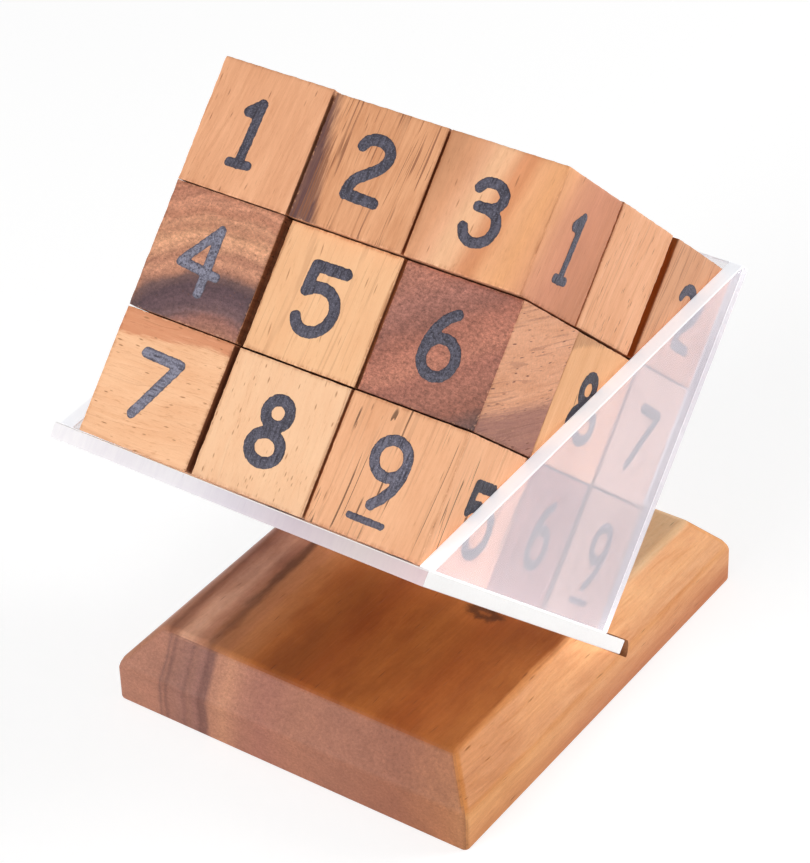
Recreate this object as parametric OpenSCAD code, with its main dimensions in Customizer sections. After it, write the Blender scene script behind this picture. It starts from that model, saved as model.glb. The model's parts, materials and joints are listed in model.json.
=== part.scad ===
// Number cube puzzle on a tilted clear stand.
// Twenty-seven wooden cubes rest in a tray of clear sheet. The tray's floor plate
// slopes down to the back and stands in an angled groove across a wooden base.
// Millimetres, +Z up. The origin is the middle of the base's underside. +X runs along
// the rows of numbers, and the numbered front looks towards -Y and upwards.

/* [Cubes] */
// Side of one wooden cube
cube_size = 25; // [18:0.5:32]
// Flat taken off each edge of a cube
cube_ease = 0.5; // [0.2:0.1:2]
// Gap between neighbouring columns
column_gap = 0.35; // [0.1:0.05:2]
// Gap between stacked rows
row_gap = 0.1; // [0.05:0.05:1]
// Gap between the front and middle layers
front_layer_gap = 0.2; // [0.1:0.05:3]
// Gap between the middle and back layers, where a line of cubes stands right at the front
back_layer_gap = 2.6; // [0.1:0.05:5]

/* [Tray] */
// Thickness of the clear sheet
sheet = 3; // [2:0.5:6]
// Slope of the tray's floor, in degrees
tray_tilt = 42.5; // [30:0.5:55]
// Gap between the cubes and the plates that they rest against
seat_gap = 0.15; // [0.05:0.05:1]
// Free width between the cubes and the left side plate
left_play = 2.15; // [0.1:0.05:8]
// How far the floor plate reaches past the front of the cubes
front_lip = 0.5; // [0:0.1:10]
// How far the back and side plates rise above the cubes
top_lip = 1.5; // [0:0.1:15]
// How far the side plates pass behind the back plate
back_lap = 0; // [0:0.5:6]
// Slope of a side plate's front edge, from the floor plate, in degrees
brace_angle = 45; // [35:1:60]
// Distance from the floor plate's front edge back to a side plate's tip
tip_setback = 1.5; // [0:0.5:20]
// Height of the side plates' lowest corner above the base's top
heel = 1.8; // [0.5:0.1:10]
// Length of the floor plate's tongue below the base's top
tongue = 8.5; // [4:0.5:12]

/* [Base] */
// How far the base stands out past the tray on each side
base_margin = 0; // [0:0.5:20]
// Depth of the base, front to back
base_depth = 100; // [80:1:160]
// Height of the base
base_height = 17; // [14:0.5:40]
// Height of the upright sides below the chamfer
base_side = 9; // [3:0.5:13]
// Width of the chamfer, seen from above
chamfer_width = 7; // [2:0.5:15]
// Rounding of the base's upper and upright edges
edge_round = 1.2; // [0.3:0.1:2.5]
// Rounding of the edges round the underside
foot_round = 0.5; // [0.2:0.1:1.5]
// Clearance between the tongue and each wall of the groove
groove_clearance = 0.15; // [0.05:0.05:0.5]
// Depth of the groove past the tongue's end
groove_relief = 3.5; // [0.2:0.1:5]

/* [Hidden] */
LAYERS = ["front", "middle", "back"];
ROWS = ["low", "mid", "top"];
COLUMNS = ["left", "centre", "right"];
SIDES = ["left_plate", "right_plate"];
CUBES = [for (layer = LAYERS, row = ROWS, column = COLUMNS) str("cube_", layer, "_", row, "_", column)];

// Wood of each cube: p pale, t tan, d dark. One word per row, low to top, left to right
TONES = [
    ["ppt", "dpd", "ttp"],
    ["tpd", "ptp", "dpp"],
    ["tdt", "ptp", "ptt"]
];
CLEAR = [0.93, 0.94, 0.95, 0.35];

// How far the front and middle cubes of each line are pushed back, as a share of the gap behind them.
// One row per row of cubes, low to top, left to right
PUSHED = [
    [0, 0.45, 0.5],
    [0, 0.7, 0.85],
    [0, 0, 0]
];

// Block of cubes
block_width = 3 * cube_size + 2 * column_gap;
block_height = 3 * cube_size + 2 * row_gap;
block_depth = 3 * cube_size + front_layer_gap + back_layer_gap;

// Tray, in its own frame: y is 0 on the back plate's inner face and z is 0 on the floor plate's upper face
tray_inside = block_width + seat_gap + left_play;
tray_width = tray_inside + 2 * sheet;
wall_height = block_height + seat_gap + top_lip;
floor_front = -(block_depth + seat_gap + front_lip);
brace_tip = floor_front + tip_setback;
brace_back = sheet + back_lap;
brace_length = brace_back - brace_tip;

// The floor plate's mid-plane crosses the base's top in the middle of the base
crossing = brace_back + (heel - sheet / 2 * cos(tray_tilt)) / sin(tray_tilt);
tray_y = sheet / 2 * sin(tray_tilt) - crossing * cos(tray_tilt);
tray_z = base_height + sheet / 2 * cos(tray_tilt) + crossing * sin(tray_tilt);
tongue_end = crossing + tongue;

base_width = tray_width + 2 * base_margin;
ROUND_STEPS = 5;

// Lower corner of cube number i in a row of cubes, with the gaps before it
function column_x(i) = tray_inside / 2 - seat_gap - block_width + i * (cube_size + column_gap);
function row_z(i) = seat_gap + i * (cube_size + row_gap);
function layer_y(i) =
    -seat_gap - block_depth + i * cube_size
    + (i > 0 ? front_layer_gap : 0) + (i > 1 ? back_layer_gap : 0);

// Step back of one cube from its layer's place
function push_y(layer, row, column) = layer < 2 ? PUSHED[row][column] * back_layer_gap : 0;

function tone(layer, row, column) = TONES[layer][row][column];
function tone_color(letter) =
    letter == "p" ? "burlywood" :
    letter == "t" ? "peru" : "saddlebrown";

// Arc that rounds corner b of an outline running anticlockwise from a to c
function corner_arc(a, b, c, r) =
    let (
        to_a = (a - b) / norm(a - b),
        to_c = (c - b) / norm(c - b),
        half = acos(to_a * to_c) / 2,
        centre = b + (to_a + to_c) / norm(to_a + to_c) * r / sin(half),
        start = b + to_a * r / tan(half) - centre,
        first = atan2(start.y, start.x),
        sweep = 180 - 2 * half
    )
    [for (i = [0 : ROUND_STEPS])
        centre + r * [cos(first + sweep * i / ROUND_STEPS), sin(first + sweep * i / ROUND_STEPS)]];

function rounded(points, radii) =
    let (n = len(points))
    [for (i = [0 : n - 1])
        each corner_arc(points[(i + n - 1) % n], points[i], points[(i + 1) % n], radii[i])];

// Upright section of the base across a given width
function base_section(width) =
    let (half = width / 2, top = half - chamfer_width)
    rounded(
        [[-half, 0], [half, 0], [half, base_side], [top, base_height], [-top, base_height], [-half, base_side]],
        [foot_round, foot_round, edge_round, edge_round, edge_round, edge_round]);

function base_outline() =
    let (x = base_width / 2, y = base_depth / 2)
    rounded([[-x, -y], [x, -y], [x, y], [-x, y]], [for (i = [1 : 4]) edge_round]);

// Puts its children in the tray's frame
module in_tray() {
    translate([0, tray_y, tray_z])
        rotate([-tray_tilt, 0, 0])
            children();
}

// Square bar with its four edges eased
module eased_bar(size, ease) {
    a = size / 2;
    b = a - ease;
    linear_extrude(size, center = true)
        polygon([[-b, -a], [b, -a], [a, -b], [a, b], [b, a], [-b, a], [-a, b], [-a, -b]]);
}

module eased_cube(size, ease) {
    intersection() {
        eased_bar(size, ease);
        rotate([90, 0, 0]) eased_bar(size, ease);
        rotate([0, 90, 0]) eased_bar(size, ease);
    }
}

// Block bounded by the section across x, the section across y and the outline from above
module base_block() {
    intersection() {
        rotate([90, 0, 0])
            linear_extrude(base_depth, center = true)
                polygon(base_section(base_width));
        rotate([90, 0, 90])
            linear_extrude(base_width, center = true)
                polygon(base_section(base_depth));
        linear_extrude(base_height)
            polygon(base_outline());
    }
}

// Saw groove that the tongue stands in, open at both sides of the base
module groove() {
    over = 1;
    in_tray()
        translate([-base_width / 2 - over, 0, -sheet - groove_clearance])
            cube([base_width + 2 * over, tongue_end + groove_relief, sheet + 2 * groove_clearance]);
}

module base() {
    color("sienna")
        difference() {
            base_block();
            groove();
        }
}

module floor_plate() {
    color(CLEAR)
        in_tray()
            translate([-tray_width / 2, floor_front, -sheet])
                cube([tray_width, tongue_end - floor_front, sheet]);
}

module back_plate() {
    color(CLEAR)
        in_tray()
            translate([-tray_inside / 2, 0, 0])
                cube([tray_inside, sheet, wall_height]);
}

// Outline of a side plate: a right triangle, cut level with the back plate's top
module brace_outline() {
    intersection() {
        polygon([[0, 0], [brace_length, 0], [brace_length, brace_length * tan(brace_angle)]]);
        square([brace_length, wall_height]);
    }
}

// Side plate whose left face is at x
module side_plate(x) {
    color(CLEAR)
        in_tray()
            translate([x, brace_tip, 0])
                rotate([90, 0, 90])
                    linear_extrude(sheet)
                        brace_outline();
}

module left_plate() {
    side_plate(-tray_width / 2);
}

module right_plate() {
    side_plate(tray_inside / 2);
}

module wooden_cube(layer, row, column) {
    half = cube_size / 2;
    color(tone_color(tone(layer, row, column)))
        in_tray()
            translate([
                column_x(column) + half,
                layer_y(layer) + push_y(layer, row, column) + half,
                row_z(row) + half
            ])
                eased_cube(cube_size, cube_ease);
}

base();
floor_plate();
back_plate();
left_plate();
right_plate();
for (layer = [0 : 2], row = [0 : 2], column = [0 : 2])
    wooden_cube(layer, row, column);
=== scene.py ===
"""Number cube puzzle: wooden cubes with printed digits in a tilted clear tray on a chamfered wooden base."""

import json
import logging
import math
from dataclasses import dataclass, field
from enum import Enum
from typing import Callable, Dict, Iterator, List, Optional, Sequence, Tuple

import bmesh
import bpy
import numpy as np
from mathutils import Matrix, Vector


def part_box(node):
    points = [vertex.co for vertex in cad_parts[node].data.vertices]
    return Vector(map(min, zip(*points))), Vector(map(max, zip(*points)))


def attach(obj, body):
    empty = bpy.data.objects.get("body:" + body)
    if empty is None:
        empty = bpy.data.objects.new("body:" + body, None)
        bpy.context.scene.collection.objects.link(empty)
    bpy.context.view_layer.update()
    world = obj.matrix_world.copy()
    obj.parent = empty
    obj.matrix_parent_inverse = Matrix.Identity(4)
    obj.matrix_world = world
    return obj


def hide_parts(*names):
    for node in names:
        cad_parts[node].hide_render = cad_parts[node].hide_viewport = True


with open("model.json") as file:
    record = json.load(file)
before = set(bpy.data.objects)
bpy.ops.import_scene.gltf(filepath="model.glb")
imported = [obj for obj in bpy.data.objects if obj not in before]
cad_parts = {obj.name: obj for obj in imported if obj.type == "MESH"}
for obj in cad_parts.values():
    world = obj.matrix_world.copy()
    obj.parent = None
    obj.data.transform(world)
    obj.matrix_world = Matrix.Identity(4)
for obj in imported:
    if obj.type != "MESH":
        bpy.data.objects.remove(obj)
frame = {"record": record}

LOG = logging.getLogger("cube_puzzle")
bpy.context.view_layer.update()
MM = 0.001

# Sizes in mm that several pieces share: a cube's side, the clear sheet and the width of base and tray
CUBE = 25.0
SHEET = 3.0
WIDTH = 84.0

Rgb = Tuple[float, float, float]
Triple = Tuple[float, float, float]
Point = Tuple[float, float]

# The slide joints run square to the back plate, so one of their axes gives the tray's tilt
LIFT = frame["record"]["behaviour"]["joints"][0]["axis"]
TILT = math.atan2(LIFT[2], -LIFT[1])
TRAY_TURN = Matrix.Rotation(-TILT, 3, "X")


def tint(code: str) -> Rgb:
    """Turns a screen colour into the linear colour that a shader takes.

    Args:
        code: Six hexadecimal digits, red first.

    Returns:
        Red, green and blue in linear light.
    """
    screen = [int(code[i:i + 2], 16) / 255 for i in (0, 2, 4)]
    red, green, blue = [c / 12.92 if c <= 0.04045 else ((c + 0.055) / 1.055) ** 2.4 for c in screen]
    return red, green, blue


class Bench:
    """Modelling steps that several pieces share."""

    @staticmethod
    def clear() -> None:
        """Leaves edit mode and deselects everything."""
        if bpy.context.object is not None and bpy.context.object.mode != "OBJECT":
            bpy.ops.object.mode_set(mode="OBJECT")
        bpy.ops.object.select_all(action="DESELECT")

    @staticmethod
    def pick(piece: bpy.types.Object) -> None:
        """Makes one object the only selected one."""
        Bench.clear()
        piece.select_set(True)
        bpy.context.view_layer.objects.active = piece

    @staticmethod
    def block(name: str, low: Triple, high: Triple) -> bpy.types.Object:
        """Adds a cube and sizes it to a box.

        Args:
            name: Name of the new object.
            low: Lowest corner in mm.
            high: Highest corner in mm.

        Returns:
            The new object, with its size in its mesh.
        """
        Bench.clear()
        middle = [(a + b) / 2 * MM for a, b in zip(low, high)]
        size = [(b - a) * MM for a, b in zip(low, high)]
        bpy.ops.mesh.primitive_cube_add(size=1, location=middle)
        piece = bpy.context.object
        piece.name = piece.data.name = name
        piece.scale = size
        bpy.ops.object.transform_apply(location=True, rotation=True, scale=True)
        return piece

    @staticmethod
    def edit(piece: bpy.types.Object, kind: str) -> None:
        """Enters edit mode with nothing selected, in vertex, edge or face mode."""
        Bench.pick(piece)
        bpy.ops.object.mode_set(mode="EDIT")
        bpy.ops.mesh.select_mode(type=kind)
        bpy.ops.mesh.select_all(action="DESELECT")

    @staticmethod
    def select_edges(piece: bpy.types.Object, test: Callable[[bmesh.types.BMEdge], bool]) -> None:
        """Selects, in edit mode, the edges that pass a test."""
        mesh = bmesh.from_edit_mesh(piece.data)
        mesh.normal_update()
        for edge in mesh.edges:
            edge.select_set(test(edge))
        bmesh.update_edit_mesh(piece.data)

    @staticmethod
    def select_faces(piece: bpy.types.Object, test: Callable[[bmesh.types.BMFace], bool]) -> None:
        """Selects, in edit mode, the faces that pass a test."""
        mesh = bmesh.from_edit_mesh(piece.data)
        mesh.normal_update()
        for face in mesh.faces:
            face.select_set(test(face))
        bmesh.update_edit_mesh(piece.data)

    @staticmethod
    def bevel(piece: bpy.types.Object, width: float, steps: int,
              test: Callable[[bmesh.types.BMEdge], bool]) -> None:
        """Rounds the edges that pass a test.

        Args:
            piece: Object to work on.
            width: Width taken off each side in mm.
            steps: Segments in the rounding.
            test: Says whether an edge is rounded.
        """
        Bench.edit(piece, "EDGE")
        Bench.select_edges(piece, test)
        bpy.ops.mesh.bevel(offset=width * MM, segments=steps, affect="EDGES")
        bpy.ops.object.mode_set(mode="OBJECT")

    @staticmethod
    def apply_modifiers(piece: bpy.types.Object) -> None:
        """Applies each modifier of a piece in turn."""
        Bench.pick(piece)
        for modifier in list(piece.modifiers):
            bpy.ops.object.modifier_apply(modifier=modifier.name)

    @staticmethod
    def settle(piece: bpy.types.Object, place: Matrix) -> None:
        """Moves a piece and puts the move into its mesh, so that the object stays at the origin."""
        Bench.pick(piece)
        piece.matrix_world = place
        bpy.ops.object.transform_apply(location=True, rotation=True, scale=True)

    @staticmethod
    def copy(piece: bpy.types.Object, name: str) -> bpy.types.Object:
        """Copies a piece together with its mesh."""
        twin = piece.copy()
        twin.data = piece.data.copy()
        twin.name = twin.data.name = name
        bpy.context.scene.collection.objects.link(twin)
        return twin

    @staticmethod
    def join(pieces: List[bpy.types.Object], name: str) -> bpy.types.Object:
        """Joins meshes into one named object."""
        Bench.pick(pieces[0])
        for piece in pieces[1:]:
            piece.select_set(True)
        if len(pieces) > 1:
            bpy.ops.object.join()
        pieces[0].name = pieces[0].data.name = name
        return pieces[0]

    @staticmethod
    def smooth(piece: bpy.types.Object, degrees: float) -> None:
        """Shades smooth across edges flatter than an angle, and keeps large faces flat."""
        Bench.pick(piece)
        bpy.ops.object.shade_smooth_by_angle(angle=math.radians(degrees))
        even = piece.modifiers.new("even", "WEIGHTED_NORMAL")
        even.keep_sharp = True
        even.weight = 90
        bpy.ops.object.modifier_apply(modifier=even.name)

    @staticmethod
    def remove(piece: bpy.types.Object) -> None:
        """Deletes a helper object and its mesh."""
        data = piece.data
        bpy.data.objects.remove(piece)
        if isinstance(data, bpy.types.Mesh):
            bpy.data.meshes.remove(data)


def sharp(edge: bmesh.types.BMEdge) -> bool:
    """True for an edge between faces that meet at a right angle or close to it."""
    return len(edge.link_faces) == 2 and edge.calc_face_angle(0.0) > math.radians(40)


class Graph:
    """Adds nodes to one tree and wires them."""

    def __init__(self, tree: bpy.types.NodeTree) -> None:
        """Keeps the tree that the nodes go into."""
        self.tree = tree

    def add(self, kind: str, **settings: object) -> bpy.types.Node:
        """Adds a shader node and sets its options."""
        node = self.tree.nodes.new(f"ShaderNode{kind}")
        for key, value in settings.items():
            setattr(node, key, value)
        return node

    def feed(self, socket: bpy.types.NodeSocket, value: object) -> None:
        """Links a socket to an input, or sets the input to a plain value."""
        if isinstance(value, bpy.types.NodeSocket):
            self.tree.links.new(value, socket)
        elif socket.type == "RGBA":
            socket.default_value = (*value[:3], 1.0)
        else:
            socket.default_value = value

    def calc(self, operation: str, *values: object, clamp: bool = False) -> bpy.types.NodeSocket:
        """One step of arithmetic on numbers or sockets."""
        node = self.add("Math", operation=operation, use_clamp=clamp)
        for socket, value in zip(node.inputs, values):
            self.feed(socket, value)
        return node.outputs[0]

    def vector(self, operation: str, first: object, second: object = None,
               scale: object = None) -> bpy.types.NodeSocket:
        """One step of vector arithmetic; lengths and dot products come out as numbers."""
        node = self.add("VectorMath", operation=operation)
        self.feed(node.inputs[0], first)
        if second is not None:
            self.feed(node.inputs[1], second)
        if scale is not None:
            self.feed(node.inputs["Scale"], scale)
        return node.outputs["Value" if operation in ("LENGTH", "DOT_PRODUCT") else "Vector"]

    def mix(self, share: object, first: object, second: object, blend: str = "MIX") -> bpy.types.NodeSocket:
        """Mixes two colours."""
        node = self.add("Mix", data_type="RGBA", blend_type=blend)
        self.feed(node.inputs[0], share)
        self.feed(node.inputs[6], first)
        self.feed(node.inputs[7], second)
        return node.outputs[2]

    def times(self, color: object, factor: object) -> bpy.types.NodeSocket:
        """Multiplies a colour by a factor for each of red, green and blue."""
        return self.mix(1.0, color, factor, "MULTIPLY")

    def ease(self, value: object, start: object, stop: object) -> bpy.types.NodeSocket:
        """Goes smoothly from 0 at start to 1 at stop."""
        node = self.add("MapRange", interpolation_type="SMOOTHSTEP")
        for socket, given in zip(node.inputs, (value, start, stop, 0.0, 1.0)):
            self.feed(socket, given)
        return node.outputs[0]

    def noise(self, place: object, detail: float = 2.0, rough: float = 0.5,
              shade: str = "Fac") -> bpy.types.NodeSocket:
        """Soft noise at a place whose scale is already set."""
        node = self.add("TexNoise")
        self.feed(node.inputs["Vector"], place)
        node.inputs["Scale"].default_value = 1.0
        node.inputs["Detail"].default_value = detail
        node.inputs["Roughness"].default_value = rough
        return node.outputs[shade]

    def cells(self, place: object) -> Tuple[bpy.types.NodeSocket, bpy.types.NodeSocket]:
        """Distance to the nearest of scattered points, and that point's random number."""
        node = self.add("TexVoronoi")
        self.feed(node.inputs["Vector"], place)
        node.inputs["Scale"].default_value = 1.0
        split = self.add("SeparateColor")
        self.feed(split.inputs[0], node.outputs["Color"])
        return node.outputs["Distance"], split.outputs[0]

    def attribute(self, name: str, output: str = "Vector") -> bpy.types.NodeSocket:
        """Reads an attribute that the mesh carries."""
        return self.add("Attribute", attribute_name=name).outputs[output]

    def along(self, way: object) -> bpy.types.NodeSocket:
        """How far a point lies along a direction, in mm in its piece's own axes."""
        return self.vector("DOT_PRODUCT", self.attribute("local"), way)

    def ramp(self, value: object, stops: Sequence[Tuple[float, str]]) -> bpy.types.NodeSocket:
        """Colour ramp through screen colours."""
        node = self.add("ValToRGB")
        self.feed(node.inputs[0], value)
        marks = node.color_ramp.elements
        while len(marks) < len(stops):
            marks.new(0.5)
        for mark, (place, code) in zip(marks, sorted(stops)):
            mark.position = place
            mark.color = (*tint(code), 1.0)
        return node.outputs["Color"]


def start_group(name: str, inputs: Sequence[Tuple[str, str]],
                outputs: Sequence[Tuple[str, str]]) -> Tuple[Graph, Dict[str, bpy.types.NodeSocket],
                                                             bpy.types.Node]:
    """Starts a shader node group.

    Args:
        name: Name of the group.
        inputs: Socket names with their kinds.
        outputs: Socket names with their kinds.

    Returns:
        The group's graph, its input values by name and its output node.
    """
    tree = bpy.data.node_groups.new(name, "ShaderNodeTree")
    for way, sockets in (("INPUT", inputs), ("OUTPUT", outputs)):
        for title, kind in sockets:
            tree.interface.new_socket(title, in_out=way, socket_type=f"NodeSocket{kind}")
    graph = Graph(tree)
    inside = tree.nodes.new("NodeGroupInput")
    outside = tree.nodes.new("NodeGroupOutput")
    return graph, {title: inside.outputs[title] for title, _ in inputs}, outside


def start_material(name: str) -> Tuple[bpy.types.Material, Graph, bpy.types.Node]:
    """Starts a material that has only its main shader.

    Args:
        name: Name of the material.

    Returns:
        The material, its graph and its shader node.
    """
    material = bpy.data.materials.new(name)
    material.use_nodes = True
    return material, Graph(material.node_tree), material.node_tree.nodes["Principled BSDF"]


class WoodGroup:
    """Shared grain of every wooden piece: rings, streaks, heart, pores, veins, flecks, edges darkened along
    the streaks and paled where worn, and a strip of painted shade beside the gaps between cubes.
    """

    NAME = "wood_grain"
    LINE_WIDTH = 0.2
    INPUTS = (
        ("Pale", "Color"), ("Tan", "Color"), ("Heart", "Color"), ("End", "Color"), ("Pore Tint", "Color"),
        ("Pith", "Vector"), ("Ring Width", "Float"), ("Ring Mix", "Float"), ("Streak Mix", "Float"),
        ("Band", "Vector"), ("Band Place", "Float"), ("Band Soft", "Float"), ("Band Mix", "Float"),
        ("Pore Cell", "Vector"), ("Pore Share", "Float"), ("Pore Mix", "Float"), ("Vein Mix", "Float"),
        ("Crack Mix", "Float"), ("Fleck Mix", "Float"), ("Rim Mix", "Float"),
        ("Shade", "Vector"), ("Shade Side", "Vector"), ("Shade Depth", "Float"), ("Shade Tint", "Color"),
        ("Shade Mix", "Float"), ("Cut Rings", "Float"),
    )
    OUTPUTS = (("Color", "Color"), ("Roughness", "Float"), ("Height", "Float"))

    def __init__(self) -> None:
        """Starts the group and reads the mesh attributes grain, local and rim, in mm, and end, a share."""
        self.graph, self.given, self.out = start_group(self.NAME, self.INPUTS, self.OUTPUTS)
        g = self.graph
        self.grain = g.attribute("grain")
        self.local = g.attribute("local")
        self.edge = g.attribute("rim", "Fac")
        self.cut_across = g.ease(g.attribute("end", "Fac"), 0.4, 0.75)
        slow = g.vector("MULTIPLY", self.grain, (0.07, 0.07, 0.022))
        drift = g.vector("SUBTRACT", g.noise(slow, 2.0, 0.5, "Color"), (0.5, 0.5, 0.5))
        self.drift = g.vector("SCALE", drift, scale=7.0)
        self.bent = g.vector("ADD", self.grain, self.drift)
        self.streak = g.noise(g.vector("MULTIPLY", self.bent, (1.3, 1.3, 0.06)), 4.0, 0.62)
        fibre = g.noise(g.vector("MULTIPLY", self.grain, (5.0, 5.0, 0.35)), 2.0, 0.6)
        self.lines = g.calc("ADD", g.calc("SUBTRACT", self.streak, 0.5),
                            g.calc("MULTIPLY", g.calc("SUBTRACT", fibre, 0.5), 0.7))
        self.ring = self.rings()

    @classmethod
    def get(cls) -> bpy.types.NodeTree:
        """Builds the group the first time and returns it."""
        found = bpy.data.node_groups.get(cls.NAME)
        return found if found is not None else cls().build()

    def rings(self) -> bpy.types.NodeSocket:
        """Growth rings round the pith, darker above zero and paler below."""
        g = self.graph
        arm = g.vector("MULTIPLY", g.vector("SUBTRACT", self.bent, self.given["Pith"]), (1.0, 1.0, 0.0))
        rings = g.add("TexNoise", noise_dimensions="1D")
        g.feed(rings.inputs["W"], g.calc("DIVIDE", g.vector("LENGTH", arm), self.given["Ring Width"]))
        rings.inputs["Scale"].default_value = 1.0
        rings.inputs["Detail"].default_value = 3.0
        return g.calc("SUBTRACT", rings.outputs["Fac"], 0.5)

    def tone(self) -> bpy.types.NodeSocket:
        """Share of the darker wood: streaks, rings and slow mottling."""
        g = self.graph
        tone = g.calc("ADD", g.calc("MULTIPLY", self.lines, self.given["Streak Mix"]),
                      g.calc("MULTIPLY", self.ring, self.given["Ring Mix"]))
        mottle = g.noise(g.vector("MULTIPLY", self.bent, (0.16, 0.16, 0.07)), 2.0, 0.5)
        tone = g.calc("ADD", tone, g.calc("MULTIPLY", g.calc("SUBTRACT", mottle, 0.5), 1.1))
        return g.calc("ADD", tone, 0.42, clamp=True)

    def heart(self) -> bpy.types.NodeSocket:
        """Share of the heartwood, which begins at the band's place along its direction."""
        g, given, soft = self.graph, self.given, self.given["Band Soft"]
        swayed = g.vector("ADD", self.local, g.vector("SCALE", self.drift, scale=0.45))
        reach = g.calc("SUBTRACT", g.vector("DOT_PRODUCT", swayed, given["Band"]), given["Band Place"])
        reach = g.calc("ADD", reach, g.calc("MULTIPLY", self.lines, 2.0))
        heart = g.calc("MULTIPLY", g.ease(reach, g.calc("MULTIPLY", soft, -1.0), soft), given["Band Mix"])
        uneven = g.calc("ADD", g.calc("MULTIPLY", self.lines, 0.5), 0.97)
        return g.calc("MULTIPLY", heart, uneven, clamp=True)

    def cross_cut(self, tone: bpy.types.NodeSocket) -> bpy.types.NodeSocket:
        """Colour of the sawn ends of the fibres, which also show the rings."""
        g, end = self.graph, self.given["End"]
        sawn = g.calc("ADD", tone, g.calc("MULTIPLY", self.ring, self.given["Cut Rings"]), clamp=True)
        return g.mix(sawn, g.times(end, (1.13, 1.12, 1.12)), g.times(end, (0.82, 0.8, 0.8)))

    def pores(self) -> bpy.types.NodeSocket:
        """Mask of the pores, fainter on the sawn ends of the fibres."""
        g = self.graph
        near, dice = g.cells(g.vector("DIVIDE", self.bent, self.given["Pore Cell"]))
        size = g.calc("ADD", g.calc("MULTIPLY", dice, 0.16), 0.14)
        pore = g.ease(near, g.calc("MULTIPLY", size, 1.2), g.calc("MULTIPLY", size, 0.3))
        pore = g.calc("MULTIPLY", pore, g.calc("LESS_THAN", dice, self.given["Pore Share"]))
        return g.calc("MULTIPLY", pore, g.calc("SUBTRACT", 1.0, g.calc("MULTIPLY", self.cut_across, 0.5)))

    def fine_lines(self, scale: Triple, patch: Triple, start: float, stop: float) -> bpy.types.NodeSocket:
        """Thin lines along the fibres, where a slow noise crosses its middle.

        Args:
            scale: Waves to the millimetre of the noise that places the lines.
            patch: Waves to the millimetre of the noise that lets them show.
            start: Value of that second noise where the lines begin to show.
            stop: Value where they show in full.

        Returns:
            A mask of the lines, without the sawn ends of the fibres.
        """
        g = self.graph
        straight = g.vector("ADD", self.grain, g.vector("SCALE", self.drift, scale=0.3))
        sides = []
        for step in (0.0, self.LINE_WIDTH):
            spot = g.vector("MULTIPLY", g.vector("ADD", straight, (step, step, 0.0)), scale)
            sides.append(g.calc("SUBTRACT", g.noise(spot, 1.0, 0.5), 0.5))
        lines = g.calc("LESS_THAN", g.calc("MULTIPLY", *sides), 0.0)
        fade = g.ease(g.noise(g.vector("MULTIPLY", self.grain, patch), 1.0), start, stop)
        return g.calc("MULTIPLY", lines, g.calc("MULTIPLY", fade, g.calc("SUBTRACT", 1.0, self.cut_across)))

    def lay(self, color: object, mask: object, share: str, over: object) -> bpy.types.NodeSocket:
        """Lays one colour over another where a mask shows.

        Args:
            color: Colour below.
            mask: Where the other colour shows.
            share: Name of the group's input that says how strongly.
            over: Colour on top.

        Returns:
            The colour with both in it.
        """
        return self.graph.mix(self.graph.calc("MULTIPLY", mask, self.given[share]), color, over)

    def flecks(self, color: bpy.types.NodeSocket) -> bpy.types.NodeSocket:
        """Sets light and dark grit into a colour, most of it on the sawn ends of the fibres."""
        g = self.graph
        grit = g.noise(g.vector("MULTIPLY", self.local, (1.5, 1.5, 2.2)), 4.0, 0.75)
        light = g.calc("ADD", g.calc("MULTIPLY", g.calc("SUBTRACT", grit, 0.5), 3.4), 1.0)
        light = g.calc("MINIMUM", g.calc("MAXIMUM", light, 0.3), 1.9)
        share = g.calc("ADD", g.calc("MULTIPLY", self.cut_across, 0.75), 0.25)
        share = g.calc("MULTIPLY", self.given["Fleck Mix"], share)
        return g.mix(share, color, g.vector("SCALE", color, scale=light))

    def edges(self, color: bpy.types.NodeSocket) -> bpy.types.NodeSocket:
        """Darkens the wood along the edges where the streaks run, and pales it in patches where raw wood
        shows.
        """
        g = self.graph
        edge_dark = g.calc("MULTIPLY", g.ease(self.edge, 1.0, 0.15), g.ease(self.streak, 0.35, 0.65))
        color = self.lay(color, edge_dark, "Rim Mix", g.times(color, (0.62, 0.5, 0.42)))
        raw = g.noise(g.vector("MULTIPLY", self.local, (1.6, 1.6, 1.6)), 2.0, 0.6)
        raw = g.calc("MULTIPLY", g.ease(self.edge, 0.6, 0.1), g.ease(raw, 0.54, 0.66))
        return self.lay(color, raw, "Rim Mix", g.times(self.given["Pale"], (1.08, 1.1, 1.14)))

    def gap_shade(self, color: bpy.types.NodeSocket) -> bpy.types.NodeSocket:
        """Paints shade onto a strip of one of a cube's faces, along the edge that faces the shade's side,
        where the gap beside the neighbouring cube lies in shade.
        """
        g, half = self.graph, CUBE / 2
        inner = g.ease(g.along(self.given["Shade"]), half - 0.5, half - 0.1)
        inner = g.calc("MULTIPLY", inner, g.ease(self.edge, 0.1, 0.5))
        depth = g.calc("SUBTRACT", half, g.along(self.given["Shade Side"]))
        depth = g.calc("DIVIDE", depth, self.given["Shade Depth"])
        inner = g.calc("MULTIPLY", inner, g.ease(depth, 2.0, 1.0))
        return self.lay(color, inner, "Shade Mix", g.times(color, self.given["Shade Tint"]))

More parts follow.
